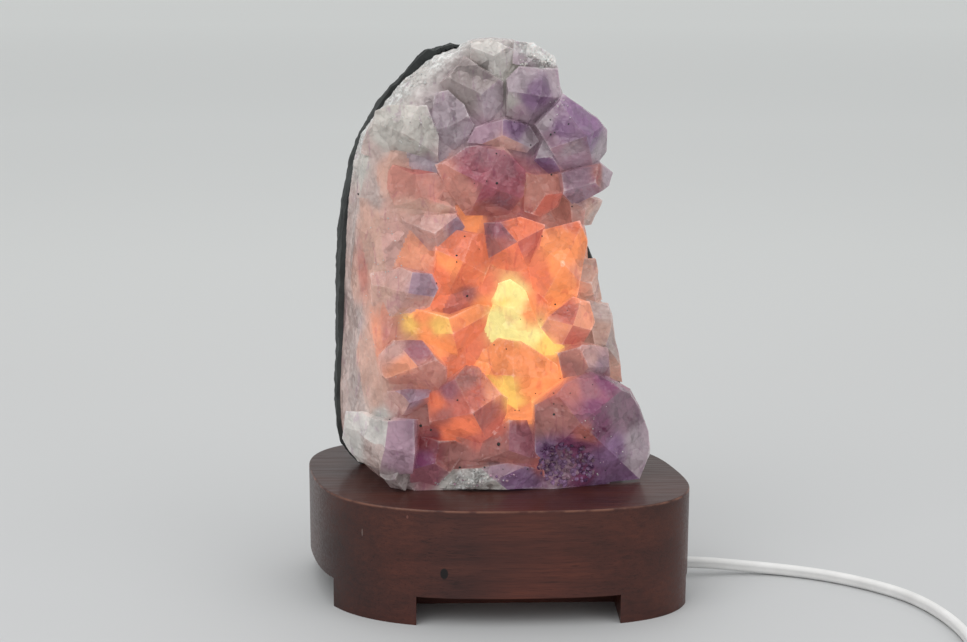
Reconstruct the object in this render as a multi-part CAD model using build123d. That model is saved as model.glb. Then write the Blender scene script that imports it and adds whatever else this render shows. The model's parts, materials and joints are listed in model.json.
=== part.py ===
from build123d import *
import math
import os

# Amethyst crystal lamp, in millimetres. X runs along the base, -Y is the front,
# and the origin lies on the table under the middle of the base.

os.makedirs("parts", exist_ok=True)

# Timber base: a solid block with a hand-shaped oval outline
BASE_HALF_LENGTH = 91.5
BASE_HALF_DEPTH = 66.2
BASE_FULLNESS = 2.84
BASE_SKEW = -0.188
BASE_TURN = 11.6
BASE_HEIGHT = 58.6
BASE_EDGE_ROUND = 0.8
OUTLINE_STEPS = 48

# Blind notches that leave four corner feet, mirrored through the centre
NOTCH_HEIGHT = 14.6
NOTCH_WALL_X = 63.0
NOTCH_WALL_Y = 32.0
FRONT_NOTCH_LEFT = -40.5
FRONT_NOTCH_RIGHT = 58.5
END_NOTCH_HALF_WIDTH = 34.0

# Lamp axis, pocket under the base and bore through its top
LAMP_X = 4.0
LAMP_Y = 6.0
POCKET_RADIUS = 21.0
POCKET_HEIGHT = 30.0
BORE_RADIUS = 15.0
RUNNING_GAP = 0.05

# Bracket strap that carries the lampholder under the bore
STRAP_LENGTH = 39.0
STRAP_WIDTH = 14.0
STRAP_THICKNESS = 1.5
STRAP_SCREW_SPACING = 34.0
WOOD_SCREW_RADIUS = 1.5
WOOD_SCREW_DEPTH = 10.0
WOOD_SCREW_HEAD_RADIUS = 2.3
WOOD_SCREW_HEAD = 1.8
WOOD_SCREW_SLOT = 0.6

# Threaded nipple and its two nuts
NIPPLE_RADIUS = 5.0
NIPPLE_BORE = 3.6
NIPPLE_LENGTH = 13.0
NIPPLE_STANDS_IN_DOME = 4.0
NUT_RADIUS = 7.0
LOWER_NUT_HEIGHT = 4.0
UPPER_NUT_HEIGHT = 1.8

# Lampholder: dome, skirt, insulating core, thread sleeve
HOLDER_RADIUS = 13.0
HOLDER_WALL = 2.0
DOME_HEIGHT = 17.0
DOME_LEDGE = 1.0
SKIRT_HEIGHT = 19.0
SKIRT_LIP = 1.5
SKIRT_MOUTH_RADIUS = 8.2
CORE_HEIGHT = 5.0
SLEEVE_BORE = 7.0
SLEEVE_WALL = 0.4
SLEEVE_HEIGHT = 17.0
SLEEVE_FLANGE_RADIUS = 9.0
TERMINAL_OFFSET = 7.0
TERMINAL_SCREW_RADIUS = 1.25
TERMINAL_HEAD_RADIUS = 2.4
TERMINAL_HEAD = 2.4
TERMINAL_DEPTH = 4.5

# Centre contact: a plunger under the bulb's tip
CONTACT_RISE = 3.0
CONTACT_PAD_RADIUS = 3.0
CONTACT_PAD = 0.8
CONTACT_STEM_RADIUS = 1.5
CONTACT_STEM_BELOW_CORE = 2.0

# Candle bulb with a small screw cap
BULB_LENGTH = 100.0
BULB_RADIUS = 17.5
BULB_WAIST_HEIGHT = 50.0
BULB_NECK_STRAIGHT = 3.0
BULB_TAPER_RADIUS_SHARE = 0.66
BULB_TAPER_HEIGHT_SHARE = 0.58
GLASS_WALL = 0.8
TIP_RADIUS = 2.4
TIP_HEIGHT = 1.2
INSULATOR_HEIGHT = 3.3
INSULATOR_TOP_RADIUS = 6.2
CAP_HEIGHT = 15.5
CAP_RADIUS = SLEEVE_BORE - 0.07
CAP_WALL = 0.3
NECK_RADIUS = 6.5
NECK_IN_CAP = 2.0
STEM_RADIUS = 2.5
STEM_HEIGHT = 20.0
STEM_FLARE = 1.5
LEAD_RADIUS = 0.35
LEAD_SPREAD = 8.0
LEAD_RISE = 18.0
FILAMENT_RADIUS = 0.25
FILAMENT_ARCH = 5.0

# Mains cord: a twin flex, its hole through the base and its strain relief
CORD_RADIUS = 3.0
CORD_HOLE_RADIUS = 4.6
CORD_HOLE_HEIGHT = 7.0
CORE_WIRE_RADIUS = 1.1
CORE_WIRE_OFFSET = 1.4
SHEATH_END_INSET = 5.0
RELIEF_FLANGE_RADIUS = 6.0
RELIEF_FLANGE = 2.0
RELIEF_IN_HOLE = 13.0
RELIEF_LENGTH = 25.0
RELIEF_ROOT_RADIUS = 5.2
RELIEF_TIP_RADIUS = 3.8

# Stone: cross-sections as height above its foot, left, right, front and back
STONE_SECTIONS = [
    (0.0, -66.0, 64.0, -31.0, 42.0),
    (13.0, -77.0, 66.0, -32.0, 48.0),
    (33.0, -80.0, 65.0, -31.0, 53.0),
    (66.0, -79.5, 57.0, -26.0, 59.0),
    (103.0, -78.0, 49.0, -20.0, 57.0),
    (139.0, -74.0, 44.0, -13.0, 51.0),
    (171.0, -65.0, 40.0, -6.0, 43.0),
    (193.0, -50.0, 33.0, -1.0, 35.0),
    (209.0, -31.0, 21.0, 4.0, 27.0),
    (216.0, -14.0, 8.0, 9.0, 21.0),
]
# One cross-section's outline, from -1 to 1 each way, with its slanted wall at the left
STONE_OUTLINE = [
    (1.0, 0.05), (0.93, 0.5), (0.72, 0.83), (0.35, 1.0), (-0.15, 0.99), (-0.6, 0.88), (-0.9, 0.62),
    (-1.0, 0.26), (-0.9, -0.3), (-0.78, -0.72), (-0.62, -1.0), (-0.1, -0.95), (0.45, -0.97), (0.88, -0.75),
]
STONE_CROWN = 1.0
BETWEEN_CORNERS_OUT = 1.02
COAT_THICKNESS = 2.6
COAT_FRONT = 16.0
CAVITY_RADIUS = 23.0
CAVITY_HEIGHT = 100.0

# Quartz points, seen from the front: outline and tip in X and Z above the stone's foot, depth in Y of the
# rim and of the tip, how many facets fall away from the tip, which way the first one falls, and how far
# the point turns to the side
POINT_DEPTH = 22.0
POINT_ROOT_SHARE = 0.5
POINT_NOSE_SHARE = 0.88
POINT_LEAN = 0.3
SHORTEST_FACET = 0.55
STONE_HEART_X = -8.0
POINTS = {
    "crown_facet": ([(-13, 216), (-3, 217), (8, 212), (7, 205), (3, 196), (-13, 207)],
                    (-2, 209), 2, -4, 3, 95, 0),
    "crown_right": ([(8, 216), (17, 215), (27, 209), (30, 202), (17, 202), (7, 205)],
                    (18, 208), 3, -2, 3, 40, 0.2),
    "grey_slab": ([(-28, 197), (-16, 210), (-10, 205), (3, 197), (3, 179), (-10, 175), (-20, 185)],
                  (-8, 191), -1, -9, 3, 215, 0),
    "grey_dome": ([(-58, 181), (-52, 184), (-34, 186), (-28, 170), (-28, 158), (-38, 153), (-48, 153),
                   (-63, 158)],
                  (-44, 171), -3, -13, 4, 20, -0.35),
    "grey_middle": ([(-30, 192), (-24, 194), (-16, 187), (-11, 176), (-15, 169), (-26, 160), (-33, 174)],
                    (-21, 178), -4, -12, 4, 65, -0.1),
    "lilac_band": ([(-11, 175), (3, 180), (15, 176), (20, 169), (14, 163), (-15, 168)],
                   (2, 172), -7, -14, 3, 270, 0),
    "violet_top": ([(4, 198), (10, 204), (29, 203), (31, 190), (19, 175), (4, 180)],
                   (20, 191), -3, -15, 4, 35, 0.1),
    "violet_right": ([(18, 177), (31, 192), (36, 189), (49, 181), (54, 175), (54, 164), (50, 159),
                      (32, 156), (24, 167)],
                     (42, 174), -5, -24, 4, 160, 0.35),
    "violet_nook": ([(22, 170), (30, 170), (33, 156), (25, 154), (17, 160)],
                    (26, 163), -8, -15, 3, 130, 0),
    "violet_tooth": ([(31, 155), (50, 160), (57, 154), (55, 148), (46, 143), (37, 139), (31, 145)],
                     (47, 151), -8, -19, 3, 15, 0.4),
    "pale_ledge": ([(34, 147), (52, 140), (47, 128), (37, 128)],
                   (43, 137), -6, -13, 3, 330, 0.4),
    "rose_crown": ([(-30, 157), (-15, 167), (3, 166), (14, 155), (13, 144), (5, 134), (-16, 134),
                    (-25, 147)],
                   (-7, 151), -12, -25, 4, 200, 0),
    "salmon_right": ([(13, 155), (29, 154), (33, 147), (30, 138), (21, 133), (13, 136)],
                     (23, 145), -11, -18, 3, 60, 0.15),
    "salmon_left": ([(-52, 148), (-48, 154), (-29, 153), (-21, 142), (-20, 135), (-33, 132), (-48, 135)],
                    (-37, 144), -10, -18, 3, 280, -0.15),
    "lilac_left": ([(-46, 134), (-20, 136), (-16, 129), (-24, 117), (-37, 117), (-45, 126)],
                   (-31, 127), -14, -23, 3, 100, -0.1),
    "lilac_flank": ([(-61, 106), (-46, 110), (-32, 107), (-29, 100), (-33, 91), (-39, 87), (-47, 84),
                     (-61, 90)],
                    (-43, 99), -20, -30, 4, 30, -0.25),
    "glow_left": ([(-31, 122), (-21, 128), (-7, 126), (-3, 112), (-9, 97), (-21, 93), (-31, 101)],
                  (-17, 114), -17, -28, 4, 110, 0),
    "glow_top": ([(-7, 131), (11, 134), (23, 130), (23, 120), (15, 109), (4, 104), (-5, 112)],
                 (9, 123), -16, -25, 4, 75, 0),
    "glow_right": ([(22, 128), (40, 132), (44, 122), (39, 93), (27, 89), (17, 99), (15, 110)],
                   (31, 113), -17, -29, 4, 10, 0.15),
    "glow_deep": ([(-4, 93), (0, 102), (6, 104), (14, 98), (20, 82), (27, 69), (11, 71), (-2, 73)],
                  (9, 86), -20, -23, 3, 85, 0),
    "glow_wing": ([(-46, 84), (-39, 90), (-24, 87), (-10, 92), (-1, 91), (-8, 77), (-15, 63), (-22, 61),
                   (-33, 69)],
                  (-22, 79), -22, -31, 4, 150, 0),
    "glow_heart": ([(-14, 62), (0, 76), (11, 75), (29, 62), (31, 54), (17, 46), (16, 33), (5, 35),
                    (-8, 53)],
                   (7, 59), -25, -35, 4, 45, 0),
    "front_point": ([(-35, 48), (-16, 63), (-10, 62), (5, 47), (4, 36), (-2, 28), (-11, 23), (-25, 27),
                     (-34, 33)],
                    (-13, 43), -28, -45, 4, 250, 0),
    "great_point": ([(17, 45), (32, 56), (45, 60), (54, 56), (66, 48), (71, 39), (76, 25), (77, 14),
                     (72, 1), (30, 1), (22, 7), (17, 20)],
                    (39, 38), -27, -46, 4, 175, 0.3),
    "rose_foot": ([(-42, 29), (-21, 26), (-14, 22), (-22, 11), (-31, 1.5), (-44, 1.5), (-43, 15)],
                  (-31, 16), -29, -38, 3, 140, 0),
    "rose_middle": ([(-12, 23), (5, 37), (17, 35), (19, 21), (21, 10), (5, 12), (-15, 14)],
                    (5, 22), -28, -37, 3, 30, 0),
    "crushed_foot": ([(-31, 1), (-24, 11), (5, 15), (22, 11), (25, 1)],
                     (-2, 7), -30, -37, 4, 80, 0),
    "white_corner": ([(-74, 37), (-41, 39), (-40, 23), (-42, 11), (-57, 10), (-69, 12), (-76, 23)],
                     (-55, 25), -28, -38, 4, 215, -0.8),
    "corner_foot": ([(-59, 15), (-42, 14), (-45, 1), (-53, 1), (-58, 8)],
                    (-50, 9), -28, -37, 3, 240, -0.3),
    "flank_point": ([(-57, 67), (-49, 76), (-37, 75), (-25, 62), (-25, 51), (-34, 49), (-50, 55)],
                    (-39, 64), -26, -38, 4, 75, -0.25),
    "flank_foot": ([(-52, 53), (-33, 51), (-34, 44), (-41, 39), (-52, 39)],
                   (-43, 46), -27, -35, 3, 190, -0.2),
    "right_glow": ([(24, 86), (37, 95), (45, 92), (48, 82), (42, 71), (27, 72), (21, 80)],
                   (36, 83), -20, -31, 4, 25, 0.2),
    "right_rim": ([(44, 92), (56, 89), (61, 65), (64, 47), (57, 50), (48, 66)],
                  (54, 70), -6, -17, 3, 5, 0.5),
    "right_lilac": ([(29, 68), (41, 73), (55, 69), (56, 54), (46, 57), (32, 52)],
                    (44, 62), -21, -31, 3, 50, 0.3),
    "right_strip": ([(37, 112), (49, 112), (53, 90), (41, 90)],
                    (46, 101), -7, -17, 3, 350, 0.4),
}

# In-line rocker switch on the cord
SWITCH_X = 295.0
SWITCH_Y = -144.0
SWITCH_LENGTH = 60.0
SWITCH_WIDTH = 26.0
SWITCH_SPLIT = 6.0
SWITCH_HEIGHT = 17.0
SWITCH_WALL = 2.0
SWITCH_CORNER = 6.0
SWITCH_SCREW_X = 21.0
SWITCH_SCREW_Y = 7.0
SWITCH_SCREW_RADIUS = 1.3
SWITCH_SCREW_HEAD_RADIUS = 2.4
SWITCH_SCREW_HEAD = 1.4
SWITCH_SCREW_SUNK = 0.2
SWITCH_SCREW_GRIP = 4.0
SWITCH_BOSS_RADIUS = 3.2
ROCKER_LENGTH = 20.0
ROCKER_WIDTH = 11.0
ROCKER_SIDE_GAP = 0.4
ROCKER_END_GAP = 0.9
ROCKER_TILT = 7.0
ROCKER_PROUD = 3.0
ROCKER_PIVOT_HEIGHT = 12.5
ROCKER_PIN_RADIUS = 1.2
ROCKER_PIN_LENGTH = 2.0
ROCKER_PIN_PLAY = 0.3
ROCKER_WAIST = 4.0
ROCKER_DRAFT = 1.2
ROCKER_CREST_DIP = 0.6
EAR_DEPTH = 3.0
BLADE_THICKNESS = 0.6
BLADE_WIDTH = 4.0
BLADE_LENGTH = 18.0
CONTACT_GAP = 0.3
CONTACT_STRIP = 0.8
CONTACT_POST_LENGTH = 1.6
END_CONTACT_X = 8.0
TERMINAL_BLOCK = (6.0, 5.0, 3.5)
TERMINAL_BLOCK_X = 14.0

# Plug with two round pins
PLUG_LENGTH = 37.0
PLUG_WIDTH = 35.0
PLUG_THICKNESS = 13.7
PLUG_NECK_WIDTH = 11.0
PLUG_NECK_THICKNESS = 9.0
PLUG_NECK_CORNER = 3.0
PLUG_CORNER = 4.0
PLUG_SHOULDER_SHARE = 0.45
PLUG_RELIEF = 12.0
PIN_RADIUS = 2.0
PIN_LENGTH = 19.0
PIN_SPACING = 19.0
PIN_ROOT = 8.0

# Coil of the length put away
COIL_X = 336.0
COIL_Y = -78.0
COIL_OUTER = 44.0
COIL_PITCH = 6.6
COIL_TURNS_IN = 2.75
COIL_STRAIGHT = 2 * CORD_RADIUS
ARC_STEPS_PER_TURN = 4

# Route of the cord where it isn't coiled, from the strain relief to the switch
NOTCH_EXIT = NOTCH_WALL_X + RELIEF_LENGTH + RELIEF_FLANGE
LEAD_ROUTE = [
    (NOTCH_EXIT, LAMP_Y, CORD_HOLE_HEIGHT),
    (106, LAMP_Y, CORD_HOLE_HEIGHT),
    (128, 7, 4.4),
    (148, 5, CORD_RADIUS),
    (170, -4, CORD_RADIUS),
    (190, -18, CORD_RADIUS),
    (206, -35, CORD_RADIUS),
    (215, -55, CORD_RADIUS),
    (219.5, -77, CORD_RADIUS),
    (220, -97, CORD_RADIUS),
    (220, SWITCH_Y + 26, CORD_RADIUS),
    (229.5, SWITCH_Y + 9.5, 3.4),
    (246, SWITCH_Y, SWITCH_SPLIT),
    (SWITCH_X - SWITCH_LENGTH / 2, SWITCH_Y, SWITCH_SPLIT),
]
MID_ROUTE = [
    (SWITCH_X + SWITCH_LENGTH / 2, SWITCH_Y, SWITCH_SPLIT),
    (339.5, SWITCH_Y, SWITCH_SPLIT),
    (358, SWITCH_Y + 7.7, 3.4),
    (372, COIL_Y - 44.2, CORD_RADIUS),
    (380, COIL_Y - 25.5, CORD_RADIUS),
    (COIL_X + COIL_OUTER, COIL_Y - COIL_STRAIGHT, CORD_RADIUS),
]
TAIL_ROUTE = [
    (COIL_X + COIL_OUTER, COIL_Y + COIL_STRAIGHT, CORD_RADIUS + COIL_PITCH),
    (COIL_X + COIL_OUTER, COIL_Y + 20, CORD_RADIUS + COIL_PITCH),
    (373.5, COIL_Y + 38, 8.2),
    (361.3, COIL_Y + 52.4, PLUG_THICKNESS / 2),
    (348.3, COIL_Y + 59.9, PLUG_THICKNESS / 2),
]


def save(shape, node):
    shape.label = node
    export_step(shape, f"parts/{node}.step")


def drum(radius, low, high, x=0.0, y=0.0):
    return Pos(x, y, low) * Cylinder(radius, high - low, align=(Align.CENTER, Align.CENTER, Align.MIN))


def ring(outer, inner, low, high):
    return drum(outer, low, high) - drum(inner, low, high)


def taper(low_radius, high_radius, height):
    return Cone(low_radius, high_radius, height, align=(Align.CENTER, Align.CENTER, Align.MIN))


def slab(x_low, x_high, y_low, y_high, z_low, z_high):
    size = (x_high - x_low, y_high - y_low, z_high - z_low)
    return Pos(x_low, y_low, z_low) * Box(*size, align=(Align.MIN, Align.MIN, Align.MIN))


def power(value, fullness):
    return math.copysign(abs(value) ** (2 / fullness), value)


def polyhedron(faces):
    return Solid(Shell([Face(Wire.make_polygon([Vector(*point) for point in face])) for face in faces]))


# The base and its notches

def base_outline():
    turn = math.radians(BASE_TURN)
    points = []
    for step in range(OUTLINE_STEPS):
        angle = 2 * math.pi * (step + 0.5) / OUTLINE_STEPS
        x = BASE_HALF_LENGTH * power(math.cos(angle), BASE_FULLNESS)
        y = BASE_HALF_DEPTH * power(math.sin(angle), BASE_FULLNESS) + BASE_SKEW * x
        points.append((x * math.cos(turn) - y * math.sin(turn), x * math.sin(turn) + y * math.cos(turn)))
    return Spline(*points, periodic=True)


def notches():
    reach = BASE_HALF_LENGTH + BASE_HALF_DEPTH
    front = slab(FRONT_NOTCH_LEFT, FRONT_NOTCH_RIGHT, -reach, -NOTCH_WALL_Y, 0, NOTCH_HEIGHT)
    end = slab(NOTCH_WALL_X, reach, -END_NOTCH_HALF_WIDTH, END_NOTCH_HALF_WIDTH, 0, NOTCH_HEIGHT)
    half_turn = Rot(0, 0, 180)
    return [front, end, half_turn * front, half_turn * end]


def base_block():
    block = extrude(make_face(base_outline()), BASE_HEIGHT)
    top_edges = block.edges().group_by(Axis.Z)[-1]
    block = fillet(top_edges, BASE_EDGE_ROUND)
    for notch in notches():
        block -= notch
    block -= drum(POCKET_RADIUS, 0, POCKET_HEIGHT, LAMP_X, LAMP_Y)
    block -= drum(BORE_RADIUS, POCKET_HEIGHT, BASE_HEIGHT, LAMP_X, LAMP_Y)
    for side in (-1, 1):
        x = LAMP_X + side * STRAP_SCREW_SPACING / 2
        top = POCKET_HEIGHT + WOOD_SCREW_DEPTH
        block -= drum(WOOD_SCREW_RADIUS + RUNNING_GAP, POCKET_HEIGHT, top, x, LAMP_Y)
    hole = Rot(0, 90, 0) * drum(CORD_HOLE_RADIUS, LAMP_X + BORE_RADIUS, NOTCH_WALL_X)
    return block - Pos(0, LAMP_Y, CORD_HOLE_HEIGHT) * hole


# The lampholder, built round its own axis

STRAP_LOW = POCKET_HEIGHT - STRAP_THICKNESS
DOME_TOP = POCKET_HEIGHT + DOME_HEIGHT
CORE_LOW = DOME_TOP - CORE_HEIGHT
SEAT = DOME_TOP + CONTACT_RISE
NIPPLE_TOP = POCKET_HEIGHT + NIPPLE_STANDS_IN_DOME


def at_lamp(shape):
    return Pos(LAMP_X, LAMP_Y, 0) * shape


def lampholder_strap():
    half_length, half_width = STRAP_LENGTH / 2, STRAP_WIDTH / 2
    strap = slab(-half_length, half_length, -half_width, half_width, STRAP_LOW, POCKET_HEIGHT)
    strap -= drum(NIPPLE_RADIUS + RUNNING_GAP, STRAP_LOW, POCKET_HEIGHT)
    for side in (-1, 1):
        x = side * STRAP_SCREW_SPACING / 2
        strap -= drum(WOOD_SCREW_RADIUS + RUNNING_GAP, STRAP_LOW, POCKET_HEIGHT, x)
    return strap


def strap_screws():
    screws = []
    for side in (-1, 1):
        x = side * STRAP_SCREW_SPACING / 2
        head = drum(WOOD_SCREW_HEAD_RADIUS, STRAP_LOW - WOOD_SCREW_HEAD, STRAP_LOW, x)
        shank = drum(WOOD_SCREW_RADIUS, STRAP_LOW, POCKET_HEIGHT + WOOD_SCREW_DEPTH - 1, x)
        slot = Box(2 * WOOD_SCREW_HEAD_RADIUS, WOOD_SCREW_SLOT, WOOD_SCREW_HEAD)
        slot = Pos(x, 0, STRAP_LOW - WOOD_SCREW_HEAD) * slot
        screws.append(at_lamp(head + shank - slot))
    return Compound(children=screws)


def holder_nipple():
    return ring(NIPPLE_RADIUS, NIPPLE_BORE, NIPPLE_TOP - NIPPLE_LENGTH, NIPPLE_TOP)


def nut(low, height):
    blank = Pos(0, 0, low) * extrude(RegularPolygon(NUT_RADIUS, 6, major_radius=False), height)
    return blank - drum(NIPPLE_RADIUS + RUNNING_GAP, low, low + height)


def nipple_nuts():
    lower = nut(STRAP_LOW - LOWER_NUT_HEIGHT, LOWER_NUT_HEIGHT)
    upper = nut(POCKET_HEIGHT + HOLDER_WALL, UPPER_NUT_HEIGHT)
    return Compound(children=[at_lamp(lower), at_lamp(upper)])


def holder_dome():
    bore = HOLDER_RADIUS - HOLDER_WALL
    dome = drum(HOLDER_RADIUS, POCKET_HEIGHT, DOME_TOP)
    dome = fillet(dome.edges().group_by(Axis.Z)[0], HOLDER_WALL / 2)
    dome -= drum(bore - DOME_LEDGE, POCKET_HEIGHT + HOLDER_WALL, CORE_LOW)
    dome -= drum(bore, CORE_LOW, DOME_TOP)
    return dome - drum(NIPPLE_RADIUS + RUNNING_GAP, POCKET_HEIGHT, POCKET_HEIGHT + HOLDER_WALL)


def holder_skirt():
    top = DOME_TOP + SKIRT_HEIGHT
    skirt = drum(HOLDER_RADIUS, DOME_TOP, top)
    skirt = fillet(skirt.edges().group_by(Axis.Z)[-1], HOLDER_WALL / 2)
    skirt -= drum(HOLDER_RADIUS - HOLDER_WALL, DOME_TOP, top - SKIRT_LIP)
    return skirt - drum(SKIRT_MOUTH_RADIUS, top - SKIRT_LIP, top)


def holder_core():
    core = drum(HOLDER_RADIUS - HOLDER_WALL - RUNNING_GAP, CORE_LOW, DOME_TOP)
    core -= drum(CONTACT_STEM_RADIUS + RUNNING_GAP, CORE_LOW, DOME_TOP)
    for side in (-1, 1):
        top = CORE_LOW + TERMINAL_DEPTH
        core -= drum(TERMINAL_SCREW_RADIUS + RUNNING_GAP, CORE_LOW, top, side * TERMINAL_OFFSET)
    return core


def thread_sleeve():
    sleeve = ring(SLEEVE_BORE + SLEEVE_WALL, SLEEVE_BORE, DOME_TOP, DOME_TOP + SLEEVE_HEIGHT)
    return sleeve + ring(SLEEVE_FLANGE_RADIUS, SLEEVE_BORE, DOME_TOP, DOME_TOP + SLEEVE_WALL)


def terminal_screws():
    screws = []
    for side in (-1, 1):
        x = side * TERMINAL_OFFSET
        head = drum(TERMINAL_HEAD_RADIUS, CORE_LOW - TERMINAL_HEAD, CORE_LOW, x)
        shank = drum(TERMINAL_SCREW_RADIUS, CORE_LOW, CORE_LOW + TERMINAL_DEPTH - 0.5, x)
        screws.append(at_lamp(head + shank))
    return Compound(children=screws)


def centre_contact():
    pad = drum(CONTACT_PAD_RADIUS, SEAT - CONTACT_PAD, SEAT)
    return pad + drum(CONTACT_STEM_RADIUS, CORE_LOW - CONTACT_STEM_BELOW_CORE, SEAT - CONTACT_PAD)


# The bulb, from its tip upwards

INSULATOR_LOW = SEAT + TIP_HEIGHT
CAP_LOW = INSULATOR_LOW + INSULATOR_HEIGHT
CAP_TOP = CAP_LOW + CAP_HEIGHT
NECK_LOW = CAP_TOP - NECK_IN_CAP
STEM_TOP = NECK_LOW + STEM_HEIGHT
LEAD_TOP = STEM_TOP + LEAD_RISE
BULB_TOP = SEAT + BULB_LENGTH


def bulb_tip():
    return fillet(drum(TIP_RADIUS, SEAT, INSULATOR_LOW).edges().group_by(Axis.Z)[0], TIP_HEIGHT / 3)


def bulb_insulator():
    return Pos(0, 0, INSULATOR_LOW) * taper(TIP_RADIUS + 1, INSULATOR_TOP_RADIUS, INSULATOR_HEIGHT)


def bulb_cap():
    cap = drum(CAP_RADIUS, CAP_LOW, CAP_TOP)
    return cap - drum(CAP_RADIUS - CAP_WALL, CAP_LOW + CAP_WALL, CAP_TOP)


def glass_solid(inset):
    neck = NECK_RADIUS - inset
    low = NECK_LOW
    top = BULB_TOP - inset
    waist = SEAT + BULB_WAIST_HEIGHT
    side = Spline(
        (neck, 0, low + BULB_NECK_STRAIGHT),
        (BULB_RADIUS - inset, 0, waist),
        (BULB_TAPER_RADIUS_SHARE * (BULB_RADIUS - inset), 0, waist + BULB_TAPER_HEIGHT_SHARE * (top - waist)),
        (0, 0, top),
        tangents=[(0, 0, 1), (-1, 0, 0.5)],
    )
    neck_top = (neck, 0, low + BULB_NECK_STRAIGHT)
    outline = Polyline((0, 0, top), (0, 0, low), (neck, 0, low), neck_top) + side
    return revolve(make_face(outline), Axis.Z)


def bulb_glass():
    return glass_solid(0) - glass_solid(GLASS_WALL) - drum(NECK_RADIUS - GLASS_WALL, NECK_LOW, NECK_LOW + 1)


def bulb_stem():
    flare = drum(NECK_RADIUS - GLASS_WALL - RUNNING_GAP, NECK_LOW, NECK_LOW + STEM_FLARE)
    return flare + drum(STEM_RADIUS, NECK_LOW + STEM_FLARE, STEM_TOP)


def round_wire(points, radii, radius):
    path = FilletPolyline(*points, radius=radii)
    section = Plane(origin=path @ 0, z_dir=path % 0) * Circle(radius)
    return sweep(section, path=path)


def bulb_leads():
    leads = []
    for side in (-1, 1):
        foot = side * STEM_RADIUS / 2
        points = [(foot, 0, STEM_TOP), (foot, 0, STEM_TOP + 3), (side * LEAD_SPREAD, 0, LEAD_TOP)]
        leads.append(at_lamp(round_wire(points, [1.5], LEAD_RADIUS)))
    return Compound(children=leads)


def bulb_filament():
    inner = LEAD_SPREAD / 2
    arch = LEAD_TOP + FILAMENT_ARCH
    low = LEAD_TOP + FILAMENT_RADIUS + RUNNING_GAP
    points = [(-LEAD_SPREAD, 0, low), (-inner, 0, arch), (inner, 0, arch), (LEAD_SPREAD, 0, low)]
    return round_wire(points, [2, 2], FILAMENT_RADIUS)


# The stone, its painted back and the cavity for the bulb

def stone_ring(section, grow, between):
    height, left, right, front, back = section
    outline = STONE_OUTLINE
    if between:
        neighbours = zip(outline, outline[1:] + outline[:1])
        outline = [((a[0] + b[0]) / 2 * BETWEEN_CORNERS_OUT, (a[1] + b[1]) / 2 * BETWEEN_CORNERS_OUT)
                   for a, b in neighbours]
    half_width = (right - left) / 2 + grow
    half_depth = (back - front) / 2 + grow
    return [((left + right) / 2 + half_width * across, (front + back) / 2 + half_depth * along, height)
            for across, along in outline]


def stone_body(grow):
    rings = [stone_ring(section, grow, level % 2) for level, section in enumerate(STONE_SECTIONS)]
    sides = len(STONE_OUTLINE)
    faces = [rings[0][::-1]]
    for level, (lower, upper) in enumerate(zip(rings, rings[1:])):
        for step in range(sides):
            following = (step + 1) % sides
            if level % 2 == 0:
                faces.append([lower[step], lower[following], upper[step]])
                faces.append([lower[following], upper[following], upper[step]])
            else:
                faces.append([lower[step], lower[following], upper[following]])
                faces.append([lower[step], upper[following], upper[step]])
    height, left, right, front, back = STONE_SECTIONS[-1]
    top = ((left + right) / 2, (front + back) / 2, height + STONE_CROWN + grow)
    for step in range(sides):
        faces.append([rings[-1][step], rings[-1][(step + 1) % sides], top])
    return polyhedron(faces)


def quartz_point(outline, tip, rim, front, facets, twist, turn):
    across, up = tip

    def loop(scale, depth, middle_x=across):
        return [(middle_x + scale * (x - across), depth + scale * turn * (x - across), up + scale * (z - up))
                for x, z in outline]

    root_x = across + POINT_LEAN * (STONE_HEART_X - across)
    root = loop(POINT_ROOT_SHARE, rim + POINT_DEPTH, root_x)
    loops = [root, loop(1, rim), loop(POINT_NOSE_SHARE, front - 1)]
    faces = [loops[0], loops[-1][::-1]]
    for lower, upper in zip(loops, loops[1:]):
        for step in range(len(outline)):
            following = (step + 1) % len(outline)
            faces.append([lower[step], upper[step], upper[following], lower[following]])
    point = polyhedron(faces)
    for facet in range(facets):
        angle = math.radians(twist) + 2 * math.pi * facet / facets
        reaches = [(x - across) * math.cos(angle) + (z - up) * math.sin(angle) for x, z in outline]
        furthest = max(math.hypot(x - across, z - up) for x, z in outline)
        slope = (rim - front) / max(max(reaches), SHORTEST_FACET * furthest)
        outwards = (slope * math.cos(angle) + turn, -1, slope * math.sin(angle))
        plane = Plane(origin=(across, front, up), z_dir=outwards)
        point = point.split(plane, keep=Keep.BOTTOM)
    return point


def crystal_cluster():
    points = [quartz_point(*numbers) for numbers in POINTS.values()]
    return Pos(0, 0, BASE_HEIGHT) * stone_body(0).fuse(*points)


def cavity():
    return drum(CAVITY_RADIUS, BASE_HEIGHT, BASE_HEIGHT + CAVITY_HEIGHT, LAMP_X, LAMP_Y)


def back_coat(cluster):
    reach = 2 * BASE_HALF_LENGTH
    behind = slab(-reach, reach, COAT_FRONT, reach, BASE_HEIGHT, BASE_HEIGHT + 2 * reach)
    return (Pos(0, 0, BASE_HEIGHT) * stone_body(COAT_THICKNESS) & behind) - cluster


# Cords, with each bend as large as its two runs allow

def bend_radii(points):
    radii = []
    for before, corner, after in zip(points, points[1:], points[2:]):
        first = Vector(*corner) - Vector(*before)
        second = Vector(*after) - Vector(*corner)
        half_turn = math.radians(first.get_angle(second)) / 2
        radii.append(0.45 * min(first.length, second.length) / math.tan(half_turn))
    return radii


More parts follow.
